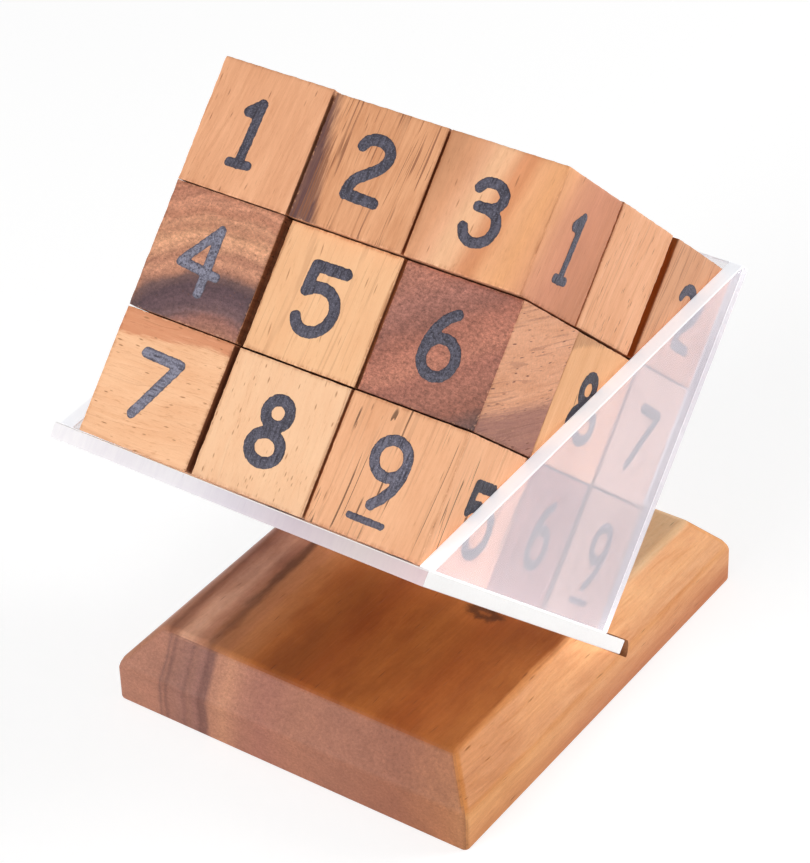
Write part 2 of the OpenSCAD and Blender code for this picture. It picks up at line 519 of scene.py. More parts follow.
    def build(self) -> bpy.types.NodeTree:
        """Lays the marks over each other and returns the finished group."""
        g, given = self.graph, self.given
        tone = self.tone()
        color = g.mix(tone, given["Pale"], given["Tan"])
        color = g.mix(self.heart(), color, given["Heart"])
        color = g.mix(self.cut_across, color, self.cross_cut(tone))
        dash = g.ease(g.noise(g.vector("MULTIPLY", self.bent, (2.6, 2.6, 0.4)), 2.0, 0.5), 0.58, 0.74)
        color = g.mix(g.calc("MULTIPLY", dash, g.calc("MULTIPLY", given["Pore Mix"], 0.55)), color,
                      g.times(color, (0.76, 0.66, 0.58)))
        pore = self.pores()
        color = self.lay(color, pore, "Pore Mix", given["Pore Tint"])
        vein = self.fine_lines((0.75, 0.75, 0.008), (0.5, 0.5, 0.09), 0.4, 0.6)
        color = self.lay(color, vein, "Vein Mix", given["Pore Tint"])
        crack = self.fine_lines((0.4, 0.4, 0.005), (0.4, 0.4, 0.07), 0.5, 0.56)
        color = self.lay(color, crack, "Crack Mix", (0.12, 0.055, 0.025))
        color = self.gap_shade(self.edges(self.flecks(color)))
        rough = g.calc("ADD", g.calc("MULTIPLY", self.streak, 0.18), 0.42)
        rough = g.calc("ADD", rough, g.calc("MULTIPLY", pore, 0.2), clamp=True)
        height = g.calc("SUBTRACT", g.calc("MULTIPLY", self.lines, 0.35), g.calc("MAXIMUM", pore, vein))
        height = g.calc("SUBTRACT", height, crack)
        for title, value in (("Color", color), ("Roughness", rough), ("Height", height)):
            g.feed(self.out.inputs[title], value)
        return g.tree


@dataclass(frozen=True)
class Figure:
    """Bands of colour that cross a piece in a straight line or run round a centre."""

    stops: Tuple[Tuple[float, str], ...]
    way: Triple = (1.0, 0.0, 0.0)
    centre: Optional[Triple] = None
    sway: float = 1.2
    scale: Triple = (0.14, 0.14, 0.14)
    ragged: float = 0.5

    def wire(self, graph: Graph) -> bpy.types.NodeSocket:
        """Places the bands.

        Args:
            graph: Graph of the material.

        Returns:
            The colour at each point; a straight band lies at its distance along the way, and a round
            one at its distance from the centre, over the axes that the way keeps.
        """
        local = graph.attribute("local")
        if self.centre is None:
            place = graph.along(self.way)
        else:
            arm = graph.vector("MULTIPLY", graph.vector("SUBTRACT", local, self.centre), self.way)
            place = graph.vector("LENGTH", arm)
        for reach, times in ((self.sway, 1.0), (self.ragged, 6.0)):
            spread = graph.vector("MULTIPLY", local, tuple(s * times for s in self.scale))
            shift = graph.calc("SUBTRACT", graph.noise(spread, 2.0, 0.55), 0.5)
            place = graph.calc("ADD", place, graph.calc("MULTIPLY", shift, 2 * reach))
        first, last = self.stops[0][0], self.stops[-1][0]
        share = graph.calc("DIVIDE", graph.calc("SUBTRACT", place, first), last - first)
        return graph.ramp(share, [((spot - first) / (last - first), code) for spot, code in self.stops])


@dataclass(frozen=True)
class Wood:
    """One wooden finish: colours, the way its fibres run and the marks that it shows."""

    name: str
    pale: str
    tan: str
    heart: str
    end: str = "C79272"
    pore: str = "7C5138"
    figure: Optional[Figure] = None
    end_figure: Optional[Figure] = None
    axis: Triple = (0.0, 0.0, 1.0)
    pith: Triple = (30.0, 45.0, 0.0)
    ring_width: float = 5.0
    rings: float = 0.7
    streaks: float = 0.9
    band: Triple = (1.0, 0.0, 0.0)
    band_place: float = 200.0
    band_soft: float = 1.5
    band_mix: float = 0.9
    pore_cell: Triple = (1.1, 1.1, 9.0)
    pore_share: float = 0.55
    pores: float = 0.6
    veins: float = 0.0
    cracks: float = 0.0
    flecks: float = 0.1
    rims: float = 0.6
    # The shade fields paint shade onto a strip of a cube's face beside the gap to its neighbour: the face's
    # direction, the edge the strip runs from, its depth in mm, its darkening and how strongly it shows.
    shade: Triple = (1.0, 0.0, 0.0)
    shade_side: Triple = (0.0, -1.0, 0.0)
    shade_depth: float = 1.5
    shade_tint: Triple = (0.2, 0.11, 0.07)
    shaded: float = 0.0
    cut_rings: float = 1.1

    def make(self) -> bpy.types.Material:
        """Makes the material the first time and returns it.

        Returns:
            The material that carries this finish.
        """
        found = bpy.data.materials.get(self.name)
        if found is not None:
            return found
        material, graph, shader = start_material(self.name)
        self.wire(graph, shader, *self.shades(graph))
        return material

    def shades(self, graph: Graph) -> Tuple[object, object, object]:
        """Colours that the grain plays between.

        Args:
            graph: Graph of the material.

        Returns:
            The light, the darker and the end-grain colour, as sockets where the wood has a figure.
        """
        pale, tan, end = tint(self.pale), tint(self.tan), tint(self.end)
        if self.figure is not None:
            bands = self.figure.wire(graph)
            pale = graph.times(bands, (1.13, 1.13, 1.13))
            tan = graph.times(bands, (0.87, 0.84, 0.82))
        if self.end_figure is not None:
            end = self.end_figure.wire(graph)
        return pale, tan, end

    def wire(self, graph: Graph, shader: bpy.types.Node, pale: object, tan: object, end: object) -> None:
        """Places the shared grain with this finish's values.

        Args:
            graph: Graph of the material.
            shader: Main shader of the material.
            pale: Colour, or socket, of the light wood.
            tan: Colour, or socket, of the darker wood between.
            end: Colour, or socket, of the sawn ends of the fibres.
        """
        wood = graph.add("Group", node_tree=WoodGroup.get())
        values = {
            "Pale": pale, "Tan": tan, "Heart": tint(self.heart), "End": end, "Pore Tint": tint(self.pore),
            "Pith": self.pith, "Ring Width": self.ring_width, "Ring Mix": self.rings,
            "Streak Mix": self.streaks, "Band": self.band, "Band Place": self.band_place,
            "Band Soft": self.band_soft, "Band Mix": self.band_mix, "Pore Cell": self.pore_cell,
            "Pore Share": self.pore_share, "Pore Mix": self.pores, "Vein Mix": self.veins,
            "Crack Mix": self.cracks, "Fleck Mix": self.flecks, "Rim Mix": self.rims,
            "Shade": self.shade, "Shade Side": self.shade_side, "Shade Depth": self.shade_depth,
            "Shade Tint": self.shade_tint, "Shade Mix": self.shaded, "Cut Rings": self.cut_rings,
        }
        for title, value in values.items():
            graph.feed(wood.inputs[title], value)
        bump = graph.add("Bump")
        bump.inputs["Strength"].default_value = 0.5
        bump.inputs["Distance"].default_value = 0.12 * MM
        graph.feed(bump.inputs["Height"], wood.outputs["Height"])
        graph.feed(shader.inputs["Base Color"], wood.outputs["Color"])
        graph.feed(shader.inputs["Roughness"], wood.outputs["Roughness"])
        graph.feed(shader.inputs["Normal"], bump.outputs["Normal"])
        shader.inputs["Specular IOR Level"].default_value = 0.25

    def fibres(self) -> Matrix:
        """Turn from a piece's own axes to the grain's, whose third axis runs along the fibres."""
        along = Vector(self.axis).normalized()
        side = Vector((0.0, 1.0, 0.0)) if abs(along.x) > 0.7 else Vector((1.0, 0.0, 0.0))
        side = (side - along * side.dot(along)).normalized()
        third = along.cross(side)
        return Matrix((side, third if max(third, key=abs) > 0 else -third, along))


def mark_grain(piece: bpy.types.Object, wood: Wood, place: Matrix, seed: float,
               rim: Optional[Callable[[np.ndarray], np.ndarray]] = None, far: float = 9.0) -> None:
    """Writes the attributes that the grain and the ink read.

    Args:
        piece: Mesh object with its place in its mesh.
        wood: Finish whose fibres the marks follow.
        place: From the piece's own axes, in metres, to the frame.
        seed: Shift along the fibres in mm, so that no two pieces repeat.
        rim: Gives each point's distance in mm to the nearest edge; none means far from any.
        far: Distance in mm that counts as far from any edge.
    """
    mesh = piece.data
    spots = np.empty(len(mesh.vertices) * 3, np.float32)
    mesh.vertices.foreach_get("co", spots)
    turn = np.array(place.to_3x3().transposed())
    local = (spots.reshape(-1, 3) - np.array(place.translation)) @ turn.T / MM
    fibres = np.array(wood.fibres())
    grain = local @ fibres.T + np.array((0.0, 0.0, seed))
    edges = rim(local) if rim is not None else np.full(len(local), far)
    for name, values in (("local", local), ("grain", grain)):
        layer = mesh.attributes.new(name, "FLOAT_VECTOR", "POINT")
        layer.data.foreach_set("vector", values.astype(np.float32).ravel())
    layer = mesh.attributes.new("rim", "FLOAT", "POINT")
    layer.data.foreach_set("value", edges.astype(np.float32))
    normals = np.empty(len(mesh.polygons) * 3, np.float32)
    mesh.polygons.foreach_get("normal", normals)
    end = np.abs(normals.reshape(-1, 3) @ turn.T @ fibres[2])
    layer = mesh.attributes.new("end", "FLOAT", "FACE")
    layer.data.foreach_set("value", end.astype(np.float32))


class Side(Enum):
    """Sides of a cube in the tray, each with its right, up and outward directions."""

    FRONT = ((1, 0, 0), (0, 0, 1), (0, -1, 0))
    RIGHT = ((0, 1, 0), (0, 0, 1), (1, 0, 0))
    TOP = ((1, 0, 0), (0, 1, 0), (0, 0, 1))
    LEFT = ((0, -1, 0), (0, 0, 1), (-1, 0, 0))
    BACK = ((-1, 0, 0), (0, 0, 1), (0, 1, 0))
    BOTTOM = ((1, 0, 0), (0, -1, 0), (0, 0, -1))

    def cell(self, spot: Tuple[int, int, int]) -> Optional[Tuple[int, int]]:
        """Where a cube's side shows on the block.

        Args:
            spot: Layer from the front, row from below and column from the left.

        Returns:
            Row from the top and column from the left as this side is looked at, or none if hidden.
        """
        layer, row, column = spot
        cells = {
            Side.FRONT: (layer == 0, 2 - row, column),
            Side.RIGHT: (column == 2, 2 - row, layer),
            Side.TOP: (row == 2, 2 - layer, column),
            Side.LEFT: (column == 0, 2 - row, 2 - layer),
            Side.BACK: (layer == 2, 2 - row, 2 - column),
            Side.BOTTOM: (row == 0, layer, column),
        }
        shown, down, along = cells[self]
        return (down, along) if shown else None


# Digits on the block's six sides as each is looked at; a dot is a blank side
BLOCK_DIGITS: Dict[Side, Tuple[str, str, str]] = {
    Side.FRONT: ("123", "456", "789"),
    Side.RIGHT: ("1.2", ".87", "569"),
    Side.TOP: ("6.8", "25.", ".74"),
    Side.LEFT: ("9.5", "38.", ".61"),
    Side.BACK: ("4.7", ".12", "86."),
    Side.BOTTOM: (".39", "17.", "2.5"),
}


def curl(points: Sequence[Point], steps: int = 6) -> List[Point]:
    """Runs a smooth line through points.

    Args:
        points: Points that the line passes.
        steps: Stretches between two points.

    Returns:
        Points along the line.
    """
    ends = [points[0], *points, points[-1]]
    line: List[Point] = []
    for a, b, c, d in zip(ends, ends[1:], ends[2:], ends[3:]):
        for i in range(steps):
            t = i / steps
            line.append(tuple(
                0.5 * (2 * q + (r - p) * t + (2 * p - 5 * q + 4 * r - s) * t * t
                       + (3 * q - p - 3 * r + s) * t ** 3)
                for p, q, r, s in zip(a, b, c, d)))
    return line + [points[-1]]


def ring(centre: Point, across: float, high: float, steps: int = 40) -> List[Point]:
    """Points round an oval, closed."""
    turns = [math.tau * i / steps for i in range(steps + 1)]
    return [(centre[0] + across * math.sin(t), centre[1] + high * math.cos(t)) for t in turns]


@dataclass
class DigitStamp:
    """Set of digit stamps, each modelled once: rounded strokes merged and pressed flat."""

    stroke: float = 2.2
    underline: float = 1.4
    proud: float = 0.05
    bleed: float = 0.3
    voxel: float = 0.13
    made: Dict[str, bpy.types.Object] = field(default_factory=dict)

    def lines(self, digit: str) -> List[Tuple[float, List[Point]]]:
        """Stroke width and middle line of each of a digit's strokes, in mm about the middle of a face."""
        wide = self.stroke * {"2": 1.07, "3": 0.96, "5": 1.08, "8": 1.06, "9": 0.97}.get(digit, 1.0)
        shapes: Dict[str, List[Tuple[float, List[Point]]]] = {
            "1": [(wide, [(-3.2, 3.4), (-0.8, 5.4)]), (wide * 0.9, [(-2.4, 3.3), (-1.0, 3.6)]),
                  (wide * 0.95, [(-0.8, 5.4), (-1.3, -6.4)]), (wide * 0.85, [(-3.4, -6.5), (0.8, -6.3)])],
            "2": [(wide, curl([(-3.0, 4.0), (-2.2, 5.1), (-0.6, 5.7), (1.3, 5.5), (2.8, 4.4), (3.1, 2.8),
                               (2.1, 0.9), (0.2, -0.6), (-1.7, -2.0), (-2.7, -3.5), (-3.0, -5.3)])),
                  (wide * 0.95, [(-3.0, -5.3), (3.3, -5.5)])],
            "3": [(wide, curl([(-2.9, 3.3), (-2.0, 4.4), (-0.3, 4.8), (1.5, 4.3), (2.5, 3.1), (2.4, 1.5),
                               (1.2, 0.4), (-0.3, 0.1), (-1.8, 0.1)])),
                  (wide, curl([(-0.3, 0.1), (1.7, -0.4), (2.8, -1.9), (2.9, -3.6), (1.8, -5.6),
                               (-0.3, -6.4), (-2.3, -5.8), (-3.3, -4.2)]))],
            "4": [(wide * 0.86, [(0.9, 5.9), (-5.1, -1.6)]), (wide * 0.9, [(-5.1, -1.6), (3.3, -2.5)]),
                  (wide * 0.95, [(0.9, 5.9), (0.9, -6.3)])],
            "5": [(wide, [(2.7, 6.1), (-3.9, 6.0)]), (wide, [(-3.9, 6.0), (-4.2, 1.2)]),
                  (wide, curl([(-4.2, 1.2), (-2.2, 2.2), (0.2, 2.2), (2.2, 0.9), (3.0, -1.4), (2.4, -3.8),
                               (0.6, -5.6), (-1.6, -6.0), (-3.4, -5.4), (-4.3, -4.0)]))],
            "6": [(wide, curl([(2.4, 5.8), (0.8, 4.6), (-0.5, 2.8), (-1.4, 0.5), (-1.7, -2.1)])),
                  (wide, ring((1.7, -2.4), 3.4, 3.5))],
            "7": [(wide, [(-4.7, 5.7), (3.2, 5.4)]), (wide, [(3.2, 5.4), (-3.0, -5.7)])],
            "8": [(wide, ring((0.2, 3.5), 2.5, 2.45)), (wide, ring((0.1, -3.1), 3.3, 2.8))],
            "9": [(wide, ring((0.25, 3.1), 3.35, 3.4)),
                  (wide, curl([(3.6, 3.1), (3.5, 0.6), (2.6, -2.0), (1.2, -4.1), (-0.4, -5.7)])),
                  (self.underline, [(-3.7, -8.7), (3.2, -8.7)])],
        }
        return shapes[digit]

    def sweep(self, width: float, line: List[Point]) -> List[bpy.types.Object]:
        """Models one stroke as a round bar along its line, with a ball at each end.

        Args:
            width: Diameter of the bar in mm.
            line: Middle line in mm.

        Returns:
            The bar and the balls.
        """
        Bench.clear()
        path = bpy.data.curves.new("stroke", "CURVE")
        path.dimensions = "3D"
        path.bevel_depth = width / 2 * MM
        path.bevel_resolution = 3
        path.use_fill_caps = True
        spline = path.splines.new("POLY")
        spline.points.add(len(line) - 1)
        for spot, (x, y) in zip(spline.points, line):
            spot.co = (x * MM, y * MM, 0.0, 1.0)
        bar = bpy.data.objects.new("stroke", path)
        bpy.context.scene.collection.objects.link(bar)
        Bench.pick(bar)
        bpy.ops.object.convert(target="MESH")
        parts = [bpy.context.object]
        for x, y in {line[0], line[-1]}:
            Bench.clear()
            bpy.ops.mesh.primitive_uv_sphere_add(segments=14, ring_count=8, radius=width / 2 * MM,
                                                 location=(x * MM, y * MM, 0.0))
            parts.append(bpy.context.object)
        for part in parts[1:]:
            Bench.pick(part)
            bpy.ops.object.transform_apply(location=True, rotation=True, scale=True)
        return parts

    def get(self, digit: str) -> bpy.types.Object:
        """Models a digit's stamp the first time and returns it."""
        if digit in self.made:
            return self.made[digit]
        parts: List[bpy.types.Object] = []
        for width, line in self.lines(digit):
            parts += self.sweep(width, line)
        stamp = Bench.join(parts, f"stamp_{digit}")
        merge = stamp.modifiers.new("merge", "REMESH")
        merge.mode = "VOXEL"
        merge.voxel_size = self.voxel * MM
        soften = stamp.modifiers.new("soften", "SMOOTH")
        soften.iterations = 4
        bleed = stamp.modifiers.new("bleed", "DISPLACE")
        bleed.texture = bpy.data.textures.get("bleed") or bpy.data.textures.new("bleed", "CLOUDS")
        bleed.texture.noise_scale = 0.7 * MM
        bleed.texture_coords = "LOCAL"
        bleed.mid_level = 0.55
        bleed.strength = self.bleed * MM
        fewer = stamp.modifiers.new("fewer", "DECIMATE")
        fewer.ratio = 0.16
        Bench.apply_modifiers(stamp)
        Bench.edit(stamp, "VERT")
        bpy.ops.mesh.select_all(action="SELECT")
        bpy.ops.transform.resize(value=(1.0, 1.0, self.proud / (self.stroke / 2)), center_override=(0, 0, 0))
        bpy.ops.object.mode_set(mode="OBJECT")
        heights = np.array([abs(spot.co.z) for spot in stamp.data.vertices]) / (self.proud * MM)
        layer = stamp.data.attributes.new("crown", "FLOAT", "POINT")
        layer.data.foreach_set("value", heights.astype(np.float32))
        self.made[digit] = stamp
        return stamp

    def clear_away(self) -> None:
        """Deletes the stamps once every cube is printed."""
        for stamp in self.made.values():
            Bench.remove(stamp)


@dataclass(frozen=True)
class Ink:
    """Printed ink, thick at the rims of the strokes, through which the grain of the wood shows, with pale
    specks of painted sheen.
    """

    name: str
    deep: str
    thin: str
    mottle: float
    painted_sheen: float

    def make(self) -> bpy.types.Material:
        """Makes the material the first time and returns it.

        Returns:
            The material that carries this ink.
        """
        found = bpy.data.materials.get(self.name)
        if found is not None:
            return found
        material, graph, shader = start_material(self.name)
        grain = graph.attribute("grain")
        local = graph.attribute("local")
        streak = graph.noise(graph.vector("MULTIPLY", grain, (1.6, 1.6, 0.16)), 3.0, 0.6)
        grit = graph.noise(graph.vector("MULTIPLY", local, (2.4, 2.4, 2.4)), 3.0, 0.7)
        share = graph.calc("MULTIPLY", graph.calc("ADD", streak, grit), 0.5)
        color = graph.mix(graph.ease(share, 0.5 - self.mottle, 0.5 + self.mottle),
                          tint(self.deep), tint(self.thin))
        # Pale bluish specks: a painted sheen of light on the ink.
        sheen_speck = graph.ease(graph.noise(graph.vector("MULTIPLY", local, (3.4, 3.1, 3.7)), 1.0), 0.56, 0.7)
        color = graph.mix(graph.calc("MULTIPLY", sheen_speck, self.painted_sheen), color, tint("A3A2B6"))
        speck, dice = graph.cells(graph.vector("DIVIDE", grain, (0.75, 0.75, 4.0)))
        pore = graph.calc("MULTIPLY", graph.ease(speck, 0.34, 0.12), graph.calc("LESS_THAN", dice, 0.6))
        color = graph.mix(graph.calc("MULTIPLY", pore, 0.7), color, tint("2B2830"))
        rim = graph.ease(graph.attribute("crown", "Fac"), 0.8, 0.3)
        color = graph.mix(graph.calc("MULTIPLY", rim, 0.55), color, tint("3A3139"))
        bump = graph.add("Bump")
        bump.inputs["Strength"].default_value = 0.4
        bump.inputs["Distance"].default_value = 0.06 * MM
        graph.feed(bump.inputs["Height"], graph.calc("SUBTRACT", streak, pore))
        graph.feed(shader.inputs["Base Color"], color)
        graph.feed(shader.inputs["Roughness"], graph.calc("ADD", graph.calc("MULTIPLY", pore, 0.25), 0.45))
        graph.feed(shader.inputs["Normal"], bump.outputs["Normal"])
        shader.inputs["Specular IOR Level"].default_value = 0.25
        return material


BLACK_INK = Ink("ink_black", "211F26", "3E3C47", 0.12, 0.2)
DENSE_INK = Ink("ink_dense", "322F3A", "5B5866", 0.1, 0.25)
RUBBED_INK = Ink("ink_rubbed", "403D4A", "716D7C", 0.1, 0.4)
# Lighter, bluer ink: partly worn print and partly a painted sheen of light at a glancing angle.
WORN_AND_SHEEN_INK = Ink("ink_worn_and_sheen", "575563", "8E8C9C", 0.11, 0.6)

UPRIGHT: Triple = (0.05, 0.0, 1.0)
ALONG_ROW: Triple = (1.0, 0.06, 0.03)
DEEP: Triple = (0.04, 1.0, 0.05)

# Growth bands of two cubes that show their end grain, and the soft stripes of a third
ARCHED = Figure((
    (4.0, "9F6E5C"), (8.0, "A8735E"), (10.4, "96665A"), (12.0, "755858"), (13.6, "634A4E"),
    (16.0, "543E43"), (17.6, "6E524E"), (19.0, "B07B63"), (20.5, "CB9072"), (22.0, "B57D63"),
    (23.5, "D69B79"), (25.5, "DCA17C"), (27.0, "BD8466"), (28.5, "D09574"), (30.0, "BA7E62"),
    (31.5, "CD8F71"), (34.0, "B57960"), (38.0, "C48768")),
    way=(0.75, 0.0, 1.0), centre=(8.0, 0.0, -20.0), sway=1.5)
SLANTED = Figure((
    (-17.0, "B07864"), (-12.0, "AE7462"), (-8.0, "A46E60"), (-5.0, "976355"), (-2.0, "AC6E5B"),
    (1.0, "B67661"), (3.0, "B77862"), (5.5, "A76B5A"), (9.0, "A66C5A"), (13.0, "96604F"),
    (15.0, "775248"), (17.5, "57413F")), way=(0.57, 0.0, -0.82), sway=1.6)
STRIPED = Figure((
    (-21.0, "CC9068"), (-18.5, "D2966E"), (-16.0, "DE9F76"), (-13.5, "EDB189"), (-11.0, "F6C196"),
    (-8.5, "F3BB90"), (-5.8, "E0996D"), (-4.0, "DC9466"), (-1.5, "EEAE7E"), (2.0, "F0AE7A"),
    (5.0, "E8A678"), (8.0, "D99672"), (12.0, "D08C6C"), (20.0, "C48260")),
    way=(1.0, 0.6, -0.2), sway=1.0, scale=(0.12, 0.12, 0.06))

PALE = (
    Wood("wood_pale", "F8C094", "E2A077", "A5683F", axis=UPRIGHT, pore_cell=(0.9, 0.9, 7.0), end="D6A27E",
         ring_width=1.8, rings=1.0),
    Wood("wood_pale_long", "FAC69C", "E2A278", "CF8A62", axis=ALONG_ROW, pore_cell=(0.8, 0.8, 5.0),
         band=(0.1, 0.5, 0.86), band_place=9.0, band_soft=2.0, cracks=0.4, end="D9A682"),
)
TAN = (
    Wood("wood_tan", "E9AE84", "C68A64", "8A513A", axis=DEEP, flecks=0.2, end="C48B6B", ring_width=1.6,
         rings=1.2, pith=(-22.0, 18.0, 0.0)),
    Wood("wood_tan_veined", "EBAF82", "C4845A", "7C5248", axis=UPRIGHT, veins=0.7, end="BC8466",
         pore_cell=(0.6, 0.6, 14.0), band=(0.9, 0.3, -0.3), band_place=10.0, band_soft=2.0,
         ring_width=1.5, rings=1.1),
)
DARK = (
    Wood("wood_dark", "BE866B", "90604C", "5A372E", axis=UPRIGHT, flecks=0.3, veins=0.5, pore="4A2E26",
         end="96654F", ring_width=1.6, rings=1.1),
    Wood("wood_dark_arched", "C48C6C", "9C6650", "5A372E", axis=DEEP, end_figure=ARCHED, ring_width=1.6,
         rings=1.5, flecks=0.3, pore="54382E", cut_rings=0.0),
)

# Finishes of the cubes that the photograph shows, by their place in the block; those with shaded set paint
# shade into the gaps between cubes
SEEN_WOOD: Dict[str, Wood] = {
    "front_top_left": Wood(
        "wood_one", "F5B68B", "DC9A70", "A0623E", axis=(0.12, 0.0, 1.0), streaks=1.2, pores=0.7, rings=0.5,
        pore_cell=(0.8, 0.8, 5.0), pore_share=0.4, pore="9C6446", shaded=0.9, shade_depth=0.7),
    "front_top_centre": Wood(
        "wood_two", "F0B184", "CE8A5E", "64423F", axis=(0.03, 0.0, 1.0), streaks=1.2, pores=0.6, rings=0.5,
        pore_cell=(0.6, 0.6, 18.0), pore_share=0.6, veins=0.8, band=(-0.98, 0.1, -0.18), band_place=8.4,
        band_soft=1.5, band_mix=1.0, pore="8E5A3E", shaded=0.9, shade_depth=0.7),
    "front_top_right": Wood(
        "wood_three", "F3BB8E", "DA9768", "C48462", axis=(0.04, 0.1, 1.0), figure=STRIPED, rings=0.3,
        streaks=0.9, pores=0.6, pore_share=0.35, pore="9E6A48"),
    "front_mid_left": Wood(
        "wood_four", "DCA582", "B07A5E", "56393A", axis=(0.1, 1.0, 0.05), pith=(9.0, -23.0, 0.0),
        end_figure=ARCHED, ring_width=1.1, rings=1.9, streaks=1.0, flecks=0.55, pores=1.0, pore="6A4638",
        pore_cell=(0.8, 0.8, 2.5), pore_share=0.7, shaded=0.92, cut_rings=0.0),
    "front_mid_centre": Wood(
        "wood_five", "FDC999", "F1B483", "A5653C", axis=(0.05, 0.0, 1.0), rings=0.4, streaks=0.7, pores=0.65,
        pore_share=0.35, pore_cell=(0.8, 0.8, 9.0), rims=0.9, veins=0.22, pore="A87250", shaded=0.9,
        shade_depth=0.7),
    "front_mid_right": Wood(
        "wood_six", "E6A884", "D0906A", "99675B", axis=(0.03, 1.0, 0.33), flecks=0.75, end_figure=SLANTED,
        pith=(-26.0, 22.0, 0.0), ring_width=1.8, rings=0.9, pore_cell=(0.7, 0.7, 4.0), pores=1.0,
        pore_share=0.75, veins=0.3, band=(0.0, 0.31, -0.95), band_place=5.05, band_soft=1.6, pore="7A4C3E",
        cut_rings=0.0),
    "front_low_left": Wood(
        "wood_seven", "FDC79B", "EEB183", "DC946C", axis=ALONG_ROW, pores=0.9, pore_cell=(0.75, 0.75, 3.4),
        pore_share=0.55, band=(-0.1, 0.0, 1.0), band_place=9.15, band_soft=0.5, band_mix=1.0, pore="B27A54",
        shaded=0.9),
    "front_low_centre": Wood(
        "wood_eight", "FED0A6", "F4BC90", "A8683F", axis=(-0.05, 0.0, 1.0), rings=0.4, streaks=0.8,
        pores=0.75, pore_cell=(0.75, 0.75, 3.0), pore_share=0.6, pore="B07A56", shaded=0.9, shade_depth=0.7),
    "front_low_right": Wood(
        "wood_nine", "FBBF93", "E6A477", "94552E", axis=(0.05, 0.0, 1.0), pores=0.65, rings=0.5, veins=0.15,
        pore_cell=(0.8, 0.8, 9.0), pore_share=0.35, cracks=0.85),
    "middle_top_right": Wood(
        "wood_top_second", "F3B58C", "DE9C70", "A9673F", axis=(0.0, 0.08, 1.0), streaks=1.3, rings=0.7,
        pore_cell=(0.6, 0.6, 5.0), pores=0.8, veins=0.2),
    "back_top_right": Wood(
        "wood_top_third", "DFA47C", "C78A64", "7E4F3A", axis=(0.0, 0.1, 1.0), streaks=1.2, veins=0.35,
        shade=(0.0, -1.0, 0.0), shade_side=(1.0, 0.0, 0.0), shade_tint=(0.63, 0.31, 0.06), shaded=0.95),
    # The heart band at the top of this cube paints the shade cast by the row above it.
    "middle_mid_right": Wood(
        "wood_mid_second", "F2B887", "DD9E6C", "B07C58", axis=UPRIGHT, band=(0.0, -0.3, 0.95),
        band_place=11.6, band_soft=0.6, band_mix=0.6, pores=0.7),
    "back_mid_right": Wood(
        "wood_mid_third", "DDB79E", "C89C82", "94664E", axis=UPRIGHT, shade=(0.0, -1.0, 0.0),
        shade_side=(1.0, 0.0, 0.0), shaded=0.7),
    "middle_low_right": Wood(
        "wood_low_second", "B9806E", "966050", "5E3C34", axis=UPRIGHT, flecks=0.3, pore="5A3A30"),
    "back_low_right": Wood(
        "wood_low_third", "C59B82", "AF836C", "8A5E4A", axis=UPRIGHT, shade=(0.0, -1.0, 0.0),
        shade_side=(1.0, 0.0, 0.0), shaded=0.7),
}
SHADES: Dict[str, Tuple[Wood, ...]] = {"pale_wood": PALE, "tan_wood": TAN, "dark_wood": DARK}
PRINTS: Dict[Tuple[str, Side], Ink] = {
    ("front_mid_left", Side.FRONT): WORN_AND_SHEEN_INK,
    ("front_low_left", Side.FRONT): WORN_AND_SHEEN_INK,
    ("front_low_right", Side.FRONT): RUBBED_INK,
    ("front_low_right", Side.RIGHT): BLACK_INK,
    ("middle_mid_right", Side.RIGHT): BLACK_INK,
    ("back_mid_right", Side.RIGHT): BLACK_INK,
    ("middle_low_right", Side.RIGHT): BLACK_INK,
    ("back_low_right", Side.RIGHT): BLACK_INK,
}

# How far some prints stand off the middle of their side, in mm to the right and up
SEEN_SHIFTS: Dict[Tuple[str, Side], Point] = {
    ("front_mid_right", Side.FRONT): (-1.1, 0.1),
    ("front_low_left", Side.FRONT): (0.0, -0.3),
    ("front_low_right", Side.FRONT): (-0.5, 0.0),
    ("front_top_right", Side.RIGHT): (0.9, -0.2),
    ("front_low_right", Side.RIGHT): (1.6, -1.6),
    ("middle_low_right", Side.RIGHT): (-0.8, 0.3),
    ("back_top_right", Side.RIGHT): (0.9, -0.9),
    ("back_mid_right", Side.RIGHT): (0.9, -0.5),
    ("back_low_right", Side.RIGHT): (0.3, 0.0),
}

# How far each photographed cube falls short of its place, in mm, in this order of its sides
TRIMMED_SIDES = (Side.LEFT, Side.RIGHT, Side.FRONT, Side.BACK, Side.BOTTOM, Side.TOP)
SEEN_TRIMS: Dict[str, Tuple[float, float, float, float, float, float]] = {
    "front_top_left": (0.0, 0.25, 0.2, 0.2, 0.0, 0.34),
    "front_top_centre": (0.0, 0.05, 0.15, 0.2, 0.0, 0.75),
    "front_top_right": (0.05, 0.1, 0.15, 0.2, 0.0, 0.75),
    "front_mid_left": (0.1, 0.1, 0.06, 0.2, 0.0, 0.0),
    "front_mid_centre": (0.1, 0.0, 0.06, 0.2, 0.0, 0.1),
    "front_mid_right": (0.1, 0.0, 0.06, 0.2, 0.05, 0.15),
    "front_low_left": (0.0, 0.05, 0.06, 0.2, 0.0, 0.05),
    "front_low_centre": (0.1, 0.0, 0.06, 0.2, 0.0, 0.15),
    "front_low_right": (0.1, 0.0, 0.06, 0.2, 0.0, 0.05),
    "middle_top_right": (0.2, 0.05, 0.0, 0.2, 0.1, 0.5),
    "back_top_right": (0.2, 0.05, 0.0, 0.0, 0.1, 0.4),
}


